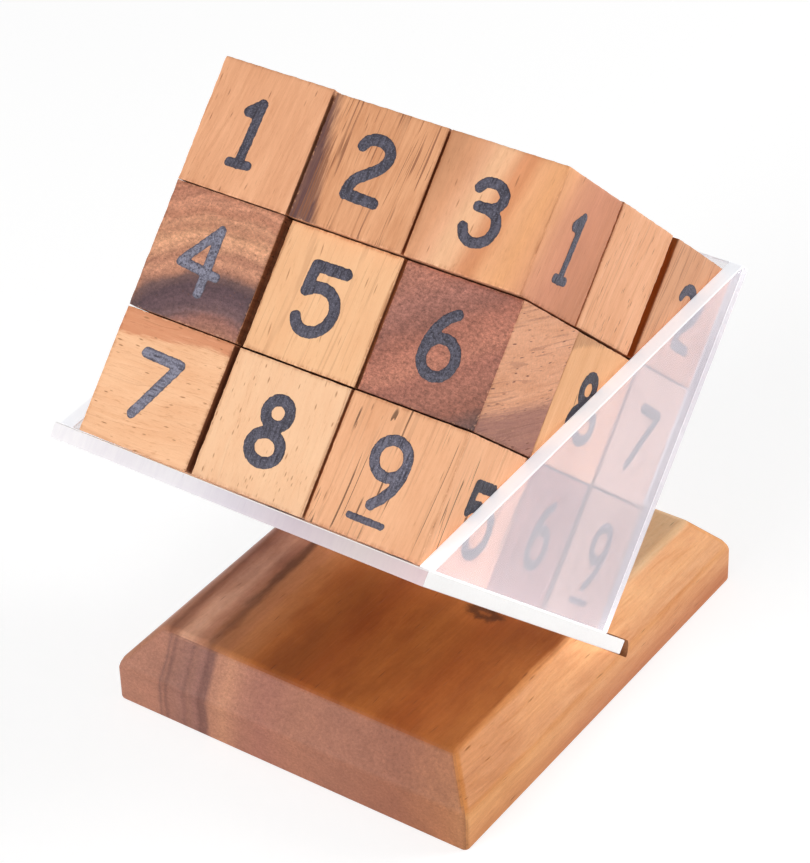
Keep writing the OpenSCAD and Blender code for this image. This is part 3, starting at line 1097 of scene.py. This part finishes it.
@dataclass
class CubeBlock:
    """Twenty-seven wooden cubes, cut by saw from mixed stock, with a digit printed on most sides."""

    size: float = CUBE
    ease: float = 0.16
    grid: int = 35
    chip: float = 0.13
    arris: float = 0.8
    wave: float = 0.06
    stock_step: float = 170.0
    stamps: DigitStamp = field(default_factory=DigitStamp)
    layers: Tuple[str, ...] = ("front", "middle", "back")
    rows: Tuple[str, ...] = ("low", "mid", "top")
    columns: Tuple[str, ...] = ("left", "centre", "right")

    def spots(self) -> Iterator[Tuple[str, Tuple[int, int, int]]]:
        """Each cube's place name with its layer, row and column."""
        for i, layer in enumerate(self.layers):
            for j, row in enumerate(self.rows):
                for k, column in enumerate(self.columns):
                    yield f"{layer}_{row}_{column}", (i, j, k)

    def blank(self) -> bpy.types.Object:
        """Models the cube that all are copied from: a gridded block with eased edges.

        Returns:
            The block about the origin, with its edge points in the group arris.
        """
        half = self.size / 2
        piece = Bench.block("cube_blank", (-half,) * 3, (half,) * 3)
        Bench.edit(piece, "EDGE")
        bpy.ops.mesh.select_all(action="SELECT")
        bpy.ops.mesh.subdivide(number_cuts=self.grid)
        bpy.ops.object.mode_set(mode="OBJECT")
        Bench.bevel(piece, self.ease, 2, sharp)
        group = piece.vertex_groups.new(name="arris")
        spots = np.array([v.co for v in piece.data.vertices]) / MM
        for index, gap in enumerate(self.rim(spots)):
            if gap < self.arris:
                group.add([index], 1.0 - gap / self.arris, "REPLACE")
        return piece

    def rim(self, local: np.ndarray) -> np.ndarray:
        """Distance in mm from each point to the cube's nearest edge."""
        return np.sort(self.size / 2 - np.abs(local), axis=1)[:, 1].clip(0.0)

    def wear(self, piece: bpy.types.Object) -> None:
        """Chips the edges and waves the sawn faces a little, always inwards."""
        for name, depth, grain, group in (("chips", self.chip, 1.5, "arris"), ("waves", self.wave, 7.0, "")):
            cloud = bpy.data.textures.get(name) or bpy.data.textures.new(name, "CLOUDS")
            cloud.noise_scale = grain * MM
            cloud.noise_depth = 2
            if group:
                cloud.intensity = 0.8
                cloud.contrast = 2.0
            dent = piece.modifiers.new(name, "DISPLACE")
            dent.texture = cloud
            dent.texture_coords = "LOCAL"
            dent.mid_level = 0.0
            dent.strength = -depth * MM
            dent.vertex_group = group
        Bench.apply_modifiers(piece)

    def trim(self, place: str, spot: Tuple[int, int, int]) -> Tuple[float, ...]:
        """How far a cube falls short of its place on each side, in mm."""
        if place in SEEN_TRIMS:
            return SEEN_TRIMS[place]
        layer, row, column = spot
        return tuple(0.05 + 0.06 * ((3 * layer + 5 * row + 7 * column + 2 * i) % 5) for i in range(6))

    def print_digits(self, spot: Tuple[int, int, int], trim: Sequence[float], place: str,
                     frame_of: Matrix) -> Optional[bpy.types.Object]:
        """Presses the digits onto one cube.

        Args:
            spot: Layer, row and column.
            trim: Shortfall of each side in mm.
            place: Place name of the cube.
            frame_of: From the cube's own axes to the frame.

        Returns:
            One object with the cube's digits, or none if every side is blank.
        """
        prints: List[bpy.types.Object] = []
        short = dict(zip(TRIMMED_SIDES, trim))
        for number, side in enumerate(Side):
            cell = side.cell(spot)
            if cell is not None:
                digit = BLOCK_DIGITS[side][cell[0]][cell[1]]
            else:
                draw = (5 * spot[0] + 3 * spot[1] + 7 * spot[2] + 4 * number) % 14
                digit = str(draw) if 0 < draw < 10 else "."
            if digit == ".":
                continue
            right, up, out = (Vector(v) for v in side.value)
            along, rise = SEEN_SHIFTS.get((place, side), (0.0, 0.0))
            spot_on = out * (self.size / 2 - short[side]) + right * along + up * rise
            turn = Matrix((right, up, out)).transposed().to_4x4()
            stamp = Bench.copy(self.stamps.get(digit), f"print_{place}_{number}")
            Bench.settle(stamp, frame_of @ Matrix.Translation(spot_on * MM) @ turn)
            stamp.data.materials.append(PRINTS.get((place, side), DENSE_INK).make())
            prints.append(stamp)
        return Bench.join(prints, f"digits_{place}") if prints else None

    def build(self) -> None:
        """Makes, prints and dresses every cube."""
        blank = self.blank()
        slots = {part["node"]: part["material_slot"] for part in frame["record"]["subparts"]}
        for index, (place, spot) in enumerate(self.spots()):
            node = f"cube_{place}"
            low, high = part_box(node)
            frame_of = Matrix.Translation((low + high) / 2) @ TRAY_TURN.to_4x4()
            trim = self.trim(place, spot)
            pairs = list(zip(trim[::2], trim[1::2]))
            cut = [1 - (low_side + high_side) / self.size for low_side, high_side in pairs]
            shift = Vector([(low_side - high_side) / 2 * MM for low_side, high_side in pairs])
            cube = Bench.copy(blank, f"wooden_{node}")
            Bench.settle(cube, frame_of @ Matrix.Translation(shift) @ Matrix.Diagonal((*cut, 1.0)))
            self.wear(cube)
            kinds = SHADES[slots[node]]
            wood = SEEN_WOOD.get(place, kinds[sum(spot) % len(kinds)])
            mark_grain(cube, wood, frame_of, self.stock_step * index, self.rim)
            cube.data.materials.append(wood.make())
            Bench.smooth(cube, 35)
            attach(cube, node)
            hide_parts(node)
            digits = self.print_digits(spot, trim, place, frame_of)
            if digits is not None:
                mark_grain(digits, wood, frame_of, self.stock_step * index)
                Bench.smooth(digits, 60)
                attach(digits, node)
            LOG.info("cube %s in %s", place, wood.name)
        Bench.remove(blank)
        self.stamps.clear_away()


@dataclass(frozen=True)
class ClearSheet:
    """Clear plastic sheet: faces with a veil of painted light on the right plate and clearer faces
    elsewhere, and sawn edges whitened partly by a painted glow.
    """

    lit_veil: str = "clear_lit_veil_face"
    clear: str = "clear_face"
    sawn: str = "clear_edge"
    front: str = "clear_front_edge"
    bright: str = "clear_glowing_upper_edge"
    side: str = "clear_floor_side"
    width: float = WIDTH

    def make(self, name: str, tints: Tuple[str, ...], clear: float, rough: float, glow: float,
             marks: Triple) -> bpy.types.Material:
        """Makes one of the surfaces.

        Args:
            name: Name of the material.
            tints: Two colours that the surface plays between, or more that follow each other along X.
            clear: Share of the light that goes through.
            rough: Mean roughness.
            glow: Strength of a painted glow, which stands for the light that the sheet gathers and gives off
                there.
            marks: Marks to the millimetre along X, Y and Z.

        Returns:
            The material.
        """
        found = bpy.data.materials.get(name)
        if found is not None:
            return found
        material, graph, shader = start_material(name)
        place = graph.add("TexCoord").outputs["Object"]
        marked = graph.noise(graph.vector("MULTIPLY", place, tuple(m / MM for m in marks)), 3.0, 0.6)
        cloud = graph.noise(graph.vector("MULTIPLY", place, (0.04 / MM,) * 3), 2.0)
        share = graph.calc("MULTIPLY", graph.calc("ADD", marked, cloud), 0.5)
        if len(tints) == 2:
            color = graph.mix(graph.ease(share, 0.3, 0.7), tint(tints[0]), tint(tints[1]))
        else:
            along = graph.vector("DOT_PRODUCT", place, (1 / (self.width * MM), 0.0, 0.0))
            color = graph.ramp(graph.calc("ADD", along, 0.5),
                               [(i / (len(tints) - 1), code) for i, code in enumerate(tints)])
            color = graph.mix(graph.ease(share, 0.3, 0.7),
                              graph.times(color, (0.91, 0.9, 0.93)), color)
        graph.feed(shader.inputs["Base Color"], color)
        graph.feed(shader.inputs["Roughness"], graph.calc("MULTIPLY", graph.calc("ADD", marked, 0.5), rough))
        shader.inputs["Transmission Weight"].default_value = clear
        shader.inputs["IOR"].default_value = 1.49
        graph.feed(shader.inputs["Emission Color"], color)
        shader.inputs["Emission Strength"].default_value = glow
        bump = graph.add("Bump")
        bump.inputs["Strength"].default_value = 0.1
        bump.inputs["Distance"].default_value = 0.01 * MM
        graph.feed(bump.inputs["Height"], marked)
        graph.feed(shader.inputs["Normal"], bump.outputs["Normal"])
        path = graph.add("LightPath")
        passing = graph.add("BsdfTransparent")
        passing.inputs["Color"].default_value = (0.86, 0.86, 0.87, 1.0)
        either = graph.add("MixShader")
        graph.feed(either.inputs[0], path.outputs["Is Shadow Ray"])
        graph.feed(either.inputs[1], shader.outputs[0])
        graph.feed(either.inputs[2], passing.outputs[0])
        out = material.node_tree.nodes["Material Output"]
        graph.feed(out.inputs["Surface"], either.outputs[0])
        return material

    def dress(self, piece: bpy.types.Object, flat: Vector) -> None:
        """Gives a plate's two faces one surface and its edges the others.

        Args:
            piece: The plate, with its place in its mesh.
            flat: Direction square to the plate.
        """
        surfaces = (
            # The right plate's faces carry a veil: painted light that stands for the strong light falling on
            # that plate.
            (self.lit_veil, ("E8E3EA", "F4F0F5"), 0.72, 0.02, 0.0, (0.05, 0.05, 0.05)),
            (self.clear, ("F2F0F5", "FCFBFD"), 0.86, 0.01, 0.0, (0.05, 0.05, 0.05)),
            # The sawn edges glow, and the upper edges more strongly: painted light that whitens them.
            (self.sawn, ("F8F5F8", "FFFFFF"), 0.02, 0.4, 0.25, (0.3, 1.6, 1.6)),
            # The front edge runs from white at the left to greyer and pinker at the right: painted shade and
            # painted reflection on that edge.
            (self.front, ("FAF7F8", "F3EEF0", "EFEBED", "DAD2D9", "CFBFC5", "D6C7C4", "DFC5C6"),
             0.06, 0.35, 0.02, (1.4, 0.2, 0.2)),
            (self.bright, ("E8EBF1", "F0F2F6"), 0.02, 0.4, 0.45, (0.3, 1.6, 1.6)),
            (self.side, ("FAF8F7", "FFFEFD"), 0.02, 0.4, 0.0, (0.3, 1.6, 1.6)),
        )
        for surface in surfaces:
            piece.data.materials.append(self.make(*surface))
        lit_veil, clear, sawn, front, bright, side = range(len(surfaces))
        # The right plate gets the veil of painted light; the other plates stay clear.
        broad = lit_veil if "right" in piece.name else clear
        for face in piece.data.polygons:
            if abs(face.normal.dot(flat)) > 0.95:
                face.material_index = broad
            elif "floor" in piece.name:
                face.material_index = front if face.normal.y < -0.6 else side
            elif "back" in piece.name:
                face.material_index = bright if face.normal.y + face.normal.z > 0.3 else clear
            else:
                face.material_index = bright if face.normal.z > 0.5 else sawn


@dataclass
class ClearTray:
    """Four glued plates of clear sheet. Sizes in mm in the tray's own axes, as the solids have them."""

    sheet: float = SHEET
    inside: float = 78.0
    wall: float = 76.85
    floor_front: float = -78.45
    tip: float = -76.95
    heel: float = 3.0
    tongue_end: float = 12.527
    glue: float = 0.02
    arris: float = 0.22
    finish: ClearSheet = field(default_factory=ClearSheet)

    def place(self) -> Matrix:
        """From the tray's own axes, in metres, to the frame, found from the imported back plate."""
        low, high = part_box("back_plate")
        middle = Vector((0.0, self.sheet / 2 * MM, self.wall / 2 * MM))
        return Matrix.Translation((low + high) / 2 - TRAY_TURN @ middle) @ TRAY_TURN.to_4x4()

    def plate(self, node: str, low: Triple, high: Triple) -> bpy.types.Object:
        """Models a plate with softened edges, square or, at the sides, cut to a slant.

        Args:
            node: The solid that it stands for.
            low: Lowest corner in the tray's axes.
            high: Highest corner.

        Returns:
            The plate, not yet in its place.
        """
        piece = Bench.block(f"sheet_{node}", low, high)
        if "floor" not in node and "back" not in node:
            Bench.edit(piece, "FACE")
            bpy.ops.mesh.select_all(action="SELECT")
            bpy.ops.mesh.bisect(plane_co=(0.0, self.tip * MM, 0.0), plane_no=(0.0, -1.0, 1.0), use_fill=True,
                                clear_outer=True)
            bpy.ops.object.mode_set(mode="OBJECT")
        Bench.bevel(piece, self.arris, 2, sharp)
        return piece

    def build(self) -> None:
        """Makes, places and dresses the four plates."""
        half, g = self.inside / 2, self.glue
        outer = half + self.sheet
        plates = (
            ("floor_plate", (-outer, self.floor_front, -self.sheet), (outer, self.tongue_end, 0.0),
             (0, 0, 1)),
            ("back_plate", (-half + g, 0.0, g), (half - g, self.sheet, self.wall), (0, 1, 0)),
            ("left_plate", (-outer, self.tip, g), (-half, self.heel, self.wall), (1, 0, 0)),
            ("right_plate", (half, self.tip, g), (outer, self.heel, self.wall), (1, 0, 0)),
        )
        for node, low, high, flat in plates:
            piece = self.plate(node, low, high)
            Bench.settle(piece, self.place())
            self.finish.dress(piece, TRAY_TURN @ Vector(flat))
            Bench.smooth(piece, 30)
            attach(piece, "stand")
            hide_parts(node)
            LOG.info("plate %s", node)


@dataclass
class WoodenBase:
    """Chamfered board with the angled groove that the tray's tongue stands in. Sizes in mm."""

    width: float = WIDTH
    depth: float = 100.0
    height: float = 17.0
    side: float = 9.0
    chamfer: float = 7.0
    round: float = 1.2
    foot: float = 0.5
    groove_length: float = 16.027
    groove_slack: float = 0.15
    sheet: float = SHEET

    def board(self) -> bpy.types.Object:
        """Models the board: a low block, its top drawn up and in, and its edges rounded."""
        x, y = self.width / 2, self.depth / 2
        piece = Bench.block("base_board", (-x, -y, 0.0), (x, y, self.side))
        Bench.edit(piece, "FACE")
        Bench.select_faces(piece, lambda face: face.normal.z > 0.9)
        bpy.ops.mesh.extrude_region_move(
            TRANSFORM_OT_translate={"value": (0.0, 0.0, (self.height - self.side) * MM)})
        bpy.ops.transform.resize(value=(1 - self.chamfer / x, 1 - self.chamfer / y, 1.0))
        bpy.ops.object.mode_set(mode="OBJECT")
        Bench.bevel(piece, self.round, 4,
                    lambda edge: max(v.co.z for v in edge.verts) > 0.5 * self.foot * MM
                    and edge.calc_face_angle(0.0) > math.radians(20))
        Bench.bevel(piece, self.foot, 2,
                    lambda edge: max(v.co.z for v in edge.verts) < 1e-6 and sharp(edge))
        return piece

    def cut_groove(self, piece: bpy.types.Object, place: Matrix) -> None:
        """Saws the groove along the tray's tilted floor.

        Args:
            piece: The board.
            place: From the tray's axes to the frame.
        """
        x, slack = self.width / 2 + 1, self.groove_slack
        saw = Bench.block("saw", (-x, -2.0, -self.sheet - slack), (x, self.groove_length, slack))
        Bench.settle(saw, place)
        cut = piece.modifiers.new("groove", "BOOLEAN")
        cut.operation = "DIFFERENCE"
        cut.solver = "EXACT"
        cut.object = saw
        Bench.apply_modifiers(piece)
        Bench.remove(saw)

    def wood(self) -> Wood:
        """The board's wood: dark heart under the tray, darkened partly as a painted shadow of the tray,
        streaks at the left, pale sapwood at the right.
        """
        # The dark middle of the top is darker wood and partly the painted shadow of the tray above it.
        along = Figure((
            # The pale pink stops between the streaks at the left paint a sheen on the top.
            (-44.0, "C08A6E"), (-35.2, "B88268"), (-34.2, "94624C"), (-33.2, "AE785E"), (-31.5, "DBA689"),
            (-29.0, "DDA98C"), (-27.4, "C48C70"), (-26.0, "B67E60"), (-24.4, "B0744E"), (-22.6, "AC7048"),
            (-20.5, "B8784E"), (-19.0, "BC7A4A"), (-14.0, "A9622E"), (-8.0, "935020"), (-2.0, "9A501F"),
            (4.0, "A85E28"), (12.0, "AA622B"), (20.0, "A65A27"), (26.0, "AC622E"), (31.0, "B06832"),
            (44.0, "B87440")),
            way=(1.0, 0.03, 0.0), sway=2.2, scale=(0.09, 0.022, 0.05), ragged=0.9)
        sawn = Figure((
            (-55.0, "AC7863"), (-47.0, "AB7660"), (-41.6, "A8735E"), (-40.9, "885D50"), (-40.3, "A06E5B"),
            (-39.7, "7F5549"), (-38.9, "9A6A59"), (-36.0, "96685A"), (-35.2, "865B4F"), (-34.4, "976858"),
            (-32.4, "94665A"), (-31.4, "784F45"), (-30.0, "82574B"), (-29.0, "B07A61"), (-25.6, "B98265"),
            (-21.6, "A8715C"), (-16.6, "A26A58"), (-8.6, "A56E57"), (1.0, "A06A54"), (16.0, "9B634B"),
            (27.0, "A86E4C"), (35.0, "B37C52")),
            way=(1.0, 0.2, 0.0), sway=0.8, scale=(0.08, 0.05, 0.05), ragged=0.4)
        return Wood("wood_base", "C4845A", "8A4E2C", "4A2818", axis=(0.02, 1.0, 0.0), figure=along,
                    end_figure=sawn, pith=(-20.0, -60.0, 0.0), ring_width=2.5, rings=0.6, streaks=1.2,
                    pores=0.5, pore_cell=(0.9, 0.9, 9.0), pore_share=0.35, flecks=0.3, rims=0.0,
                    pore="6A3E26", cut_rings=0.0)

    def sapwood_and_light(self, graph: Graph, tones: Tuple[str, ...]) -> bpy.types.NodeSocket:
        """Pale wood at the right, darker low on the chamfer and the side, and palest on the top behind the
        tray, where painted light stands for the light that falls there out of the tray's shadow.

        Args:
            graph: Graph of the material.
            tones: Colours of the chamfer's front and back, the side's front and back and the top behind the
                tray, which is painted light.

        Returns:
            The colour at each point.
        """
        chamfer_front, chamfer_back, side_front, side_back, top = (tint(code) for code in tones)
        deep = graph.along((0.0, 1.0, 0.0))
        rise = graph.along((0.0, 0.0, 1.0))
        back = graph.ease(deep, -40.0, 5.0)
        upper = graph.mix(graph.ease(deep, -45.0, 15.0), chamfer_front, chamfer_back)
        verge = graph.calc("MULTIPLY", graph.ease(rise, 13.0, 10.5), graph.ease(deep, -35.0, -5.0))
        upper = graph.mix(graph.calc("MULTIPLY", verge, 0.7), upper, graph.times(upper, (0.8, 0.71, 0.64)))
        # Painted light: the top behind the tray, out of its shadow, is made palest.
        crest = graph.calc("MULTIPLY", graph.ease(deep, 12.0, 26.0), graph.ease(rise, 15.9, 16.8))
        upper = graph.mix(crest, upper, top)
        lower = graph.mix(back, side_front, side_back)
        foot = graph.calc("MULTIPLY", graph.calc("ADD", graph.calc("MULTIPLY", back, 0.5), 0.5),
                          graph.ease(rise, 8.0, 1.0))
        lower = graph.mix(foot, lower, graph.times(lower, (0.76, 0.62, 0.6)))
        return graph.mix(graph.ease(rise, 9.4, 8.2), upper, lower)

    def streak(self, graph: Graph, color: bpy.types.NodeSocket,
               rough: bpy.types.NodeSocket) -> bpy.types.NodeSocket:
        """Adds the streak at the left, darkest at its back, and a darker patch beside it that deepens
        towards the back.

        Args:
            graph: Graph of the material.
            color: Colour of the wood.
            rough: Noise that bends the streak.

        Returns:
            The colour with the streak in it.
        """
        deep = graph.along((0.0, 1.0, 0.0))
        lean = graph.calc("ADD", graph.along((1.0, 0.06, 0.0)), 24.2)
        lean = graph.calc("ADD", lean, graph.calc("MULTIPLY", rough, 2.8))
        streak = graph.ease(graph.calc("ABSOLUTE", lean), 1.8, 0.2)
        back = graph.calc("MULTIPLY", graph.ease(deep, -46.0, -10.0), 0.5)
        share = graph.calc("MULTIPLY", streak, graph.calc("ADD", back, 0.3))
        color = graph.mix(share, color, tint("4A2A1E"))
        beside = graph.calc("MULTIPLY", graph.ease(lean, 0.5, -2.0), graph.ease(deep, -38.0, -8.0))
        beside = graph.calc("MULTIPLY", beside, graph.calc("ADD", rough, 0.1))
        return graph.mix(beside, color, tint("7C4C3E"))

    def clouds(self, graph: Graph, color: bpy.types.NodeSocket) -> bpy.types.NodeSocket:
        """Adds dark clouds, the eye beside the tray and a painted shadow of the tray on the top under it.

        Args:
            graph: Graph of the material.
            color: Colour of the wood.

        Returns:
            The colour with all of them in it.
        """
        local = graph.attribute("local")
        cloud = graph.noise(graph.vector("MULTIPLY", local, (0.13, 0.06, 0.13)), 4.0, 0.65)
        cloud = graph.calc("MULTIPLY", graph.ease(cloud, 0.42, 0.66), 0.55)
        color = graph.mix(cloud, color, graph.times(color, (0.72, 0.6, 0.5)))
        spot = graph.vector("MULTIPLY", graph.vector("SUBTRACT", local, (17.0, -5.4, 0.0)), (0.5, 1.0, 0.0))
        burr = graph.noise(graph.vector("MULTIPLY", local, (0.7, 0.7, 0.7)), 3.0, 0.65)
        eye = graph.calc("ADD", graph.vector("LENGTH", spot), graph.calc("MULTIPLY", burr, 2.6))
        dark = graph.calc("ADD", graph.calc("MULTIPLY", graph.ease(eye, 1.3, 2.4), 0.5), 0.3)
        dark = graph.calc("MULTIPLY", graph.ease(eye, 4.0, 2.6), dark)
        color = graph.mix(dark, color, tint("44230F"))
        # Painted shadow under the tray's floor plate, at the right of the top.
        under = graph.calc("MULTIPLY", graph.ease(graph.along((0.0, 1.0, 0.0)), -17.0, -5.0),
                           graph.ease(graph.along((1.0, 0.0, 0.0)), 14.0, 26.0))
        return graph.mix(under, color, graph.times(color, (0.74, 0.66, 0.58)))

    def border(self, graph: Graph, rough: bpy.types.NodeSocket) -> bpy.types.NodeSocket:
        """Share of the pale wood at the right, partly sapwood and partly painted light on the chamfer beside
        the top in the tray's shadow; its border is crisp in front and soft and further left behind the tray,
        where the top is painted as lit.

        Args:
            graph: Graph of the material.
            rough: Noise that bends the border.

        Returns:
            The share at each point.
        """
        lines = graph.vector("MULTIPLY", graph.attribute("local"), (0.75, 0.03, 0.75))
        behind = graph.ease(graph.along((0.0, 1.0, 0.0)), 2.0, 24.0)
        # Behind the tray the border moves left, painting light on more of the top.
        border = graph.calc("ADD", graph.along((1.0, 0.0, 0.0)), graph.calc("MULTIPLY", behind, 9.0))
        border = graph.calc("ADD", border, graph.calc("MULTIPLY", rough, -1.4))
        border = graph.calc("ADD", border, graph.calc("MULTIPLY", graph.noise(lines, 3.0, 0.6), -3.0))
        start = graph.calc("SUBTRACT", 31.6, graph.calc("MULTIPLY", behind, 5.0))
        stop = graph.calc("ADD", 33.4, graph.calc("MULTIPLY", behind, 3.0))
        return graph.ease(border, start, stop)

    def shade_marks(self, graph: Graph, color: bpy.types.NodeSocket,
                    tones: Tuple[str, ...]) -> bpy.types.NodeSocket:
        """Adds all the marks of the board to the colour of its wood, with a painted shadow under the tray
        and painted light on the chamfer and on the top behind the tray.

        Args:
            graph: Graph of the material.
            color: Colour of the wood.
            tones: Colours of the sapwood at the right, the last of them the painted light on the top behind
                the tray.

        Returns:
            The colour with the marks in it.
        """
        rough = graph.noise(graph.vector("MULTIPLY", graph.attribute("local"), (0.3, 0.12, 0.3)), 3.0, 0.6)
        color = self.clouds(graph, self.streak(graph, color, rough))
        return graph.mix(self.border(graph, rough), color, self.sapwood_and_light(graph, tones))

    def stain(self) -> bpy.types.Material:
        """Makes the board's material."""
        wood = self.wood()
        material, graph, shader = start_material(wood.name)
        pale, tan, end = wood.shades(graph)
        light = self.shade_marks(graph, pale, ("DB9153", "F5B476", "EBA86C", "E8A875", "FBD3A8"))
        dark = self.shade_marks(graph, tan, ("BA723A", "DD9255", "C9864E", "D18955", "EFBD8A"))
        wood.wire(graph, shader, light, dark, end)
        return material

    def build(self, place: Matrix) -> None:
        """Makes and dresses the base.

        Args:
            place: From the tray's axes to the frame, for the groove.
        """
        piece = self.board()
        self.cut_groove(piece, place)
        material = self.stain()
        mark_grain(piece, self.wood(), Matrix.Identity(4), 0.0)
        piece.data.materials.append(material)
        Bench.smooth(piece, 32)
        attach(piece, "stand")
        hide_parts("base")
        LOG.info("base")


@dataclass
class Studio:
    """White floor, soft lamps and the camera."""

    eye: Triple = (0.287598, -0.408981, 0.405213)
    azimuth: float = 35.5757
    elevation: float = 35.2518
    roll: float = -1.8492
    lens: float = 130.085
    sky: float = 0.26
    floor_glow: float = 0.72
    target: Triple = (0.0, -0.01, 0.06)
    lamps: Tuple[Tuple[str, Triple, float, float], ...] = (
        ("key", (-0.25, -1.1, 0.5), 0.7, 10.8),
        ("fill", (0.9, 0.82, 0.42), 0.55, 12.6),
    )

    def camera(self) -> None:
        """Sets the camera where the photograph was taken from."""
        a, e, r = (math.radians(v) for v in (self.azimuth, self.elevation, self.roll))
        back = Vector((math.sin(a) * math.cos(e), -math.cos(a) * math.cos(e), math.sin(e)))
        right = Vector((math.cos(a), math.sin(a), 0.0))
        up = back.cross(right)
        level = right * math.cos(r) + up * math.sin(r)
        upright = up * math.cos(r) - right * math.sin(r)
        turn = Matrix((level, upright, back)).transposed().to_4x4()
        data = bpy.data.cameras.new("camera")
        data.lens = self.lens
        data.sensor_width = 36.0
        data.clip_start = 0.01
        camera = bpy.data.objects.new("camera", data)
        camera.matrix_world = Matrix.Translation(self.eye) @ turn
        bpy.context.scene.collection.objects.link(camera)
        bpy.context.scene.camera = camera

    @staticmethod
    def seen(graph: Graph) -> bpy.types.NodeSocket:
        """1 for rays that the camera, a mirror or glass sends out, and 0 for the rest."""
        path = graph.add("LightPath")
        shown = graph.calc("MAXIMUM", path.outputs["Is Camera Ray"], path.outputs["Is Glossy Ray"])
        return graph.calc("MAXIMUM", shown, path.outputs["Is Transmission Ray"])

    def world(self) -> None:
        """Even light from all round, white where it is looked at."""
        world = bpy.data.worlds.new("studio")
        bpy.context.scene.world = world
        world.use_nodes = True
        graph = Graph(world.node_tree)
        light = world.node_tree.nodes["Background"]
        light.inputs["Color"].default_value = (1.0, 1.0, 1.0, 1.0)
        strength = graph.add("MapRange")
        for socket, value in zip(strength.inputs, (self.seen(graph), 0.0, 1.0, self.sky, 1.0)):
            graph.feed(socket, value)
        graph.feed(light.inputs["Strength"], strength.outputs[0])

    def floor(self) -> None:
        """Pale floor that shows white and keeps a soft shadow."""
        Bench.clear()
        bpy.ops.mesh.primitive_plane_add(size=8.0, location=(0.0, 0.0, -0.05 * MM))
        piece = bpy.context.object
        piece.name = "studio_floor"
        material, graph, shader = start_material("floor_paper")
        shader.inputs["Base Color"].default_value = (0.8, 0.8, 0.8, 1.0)
        shader.inputs["Roughness"].default_value = 0.9
        shader.inputs["Specular IOR Level"].default_value = 0.0
        paper = graph.add("BsdfDiffuse")
        paper.inputs["Color"].default_value = (0.4, 0.4, 0.4, 1.0)
        glow = graph.add("Emission")
        glow.inputs["Strength"].default_value = self.floor_glow
        both = graph.add("AddShader")
        graph.feed(both.inputs[0], paper.outputs[0])
        graph.feed(both.inputs[1], glow.outputs[0])
        either = graph.add("MixShader")
        graph.feed(either.inputs[0], self.seen(graph))
        graph.feed(either.inputs[1], shader.outputs[0])
        graph.feed(either.inputs[2], both.outputs[0])
        graph.feed(material.node_tree.nodes["Material Output"].inputs["Surface"], either.outputs[0])
        piece.data.materials.append(material)

    def lamp(self, name: str, spot: Triple, size: float, watts: float) -> None:
        """Hangs a soft square lamp that points at the object.

        Args:
            name: Name of the lamp.
            spot: Where it hangs, in metres.
            size: Its side in metres.
            watts: Its power.
        """
        data = bpy.data.lights.new(name, "AREA")
        data.size = size
        data.energy = watts
        lamp = bpy.data.objects.new(name, data)
        lamp.location = spot
        aim = Vector(self.target) - Vector(spot)
        lamp.rotation_euler = aim.to_track_quat("-Z", "Y").to_euler()
        bpy.context.scene.collection.objects.link(lamp)

    def build(self) -> None:
        """Sets up the whole studio."""
        bpy.context.scene.view_settings.view_transform = "Standard"
        self.camera()
        self.world()
        self.floor()
        for lamp in self.lamps:
            self.lamp(*lamp)
        LOG.info("studio")


def main() -> None:
    """Builds the studio, the base, the tray and the cubes."""
    logging.basicConfig(level=logging.INFO, format="%(message)s")
    Studio().build()
    tray = ClearTray()
    WoodenBase().build(tray.place())
    tray.build()
    CubeBlock().build()


if __name__ == "__main__":
    main()
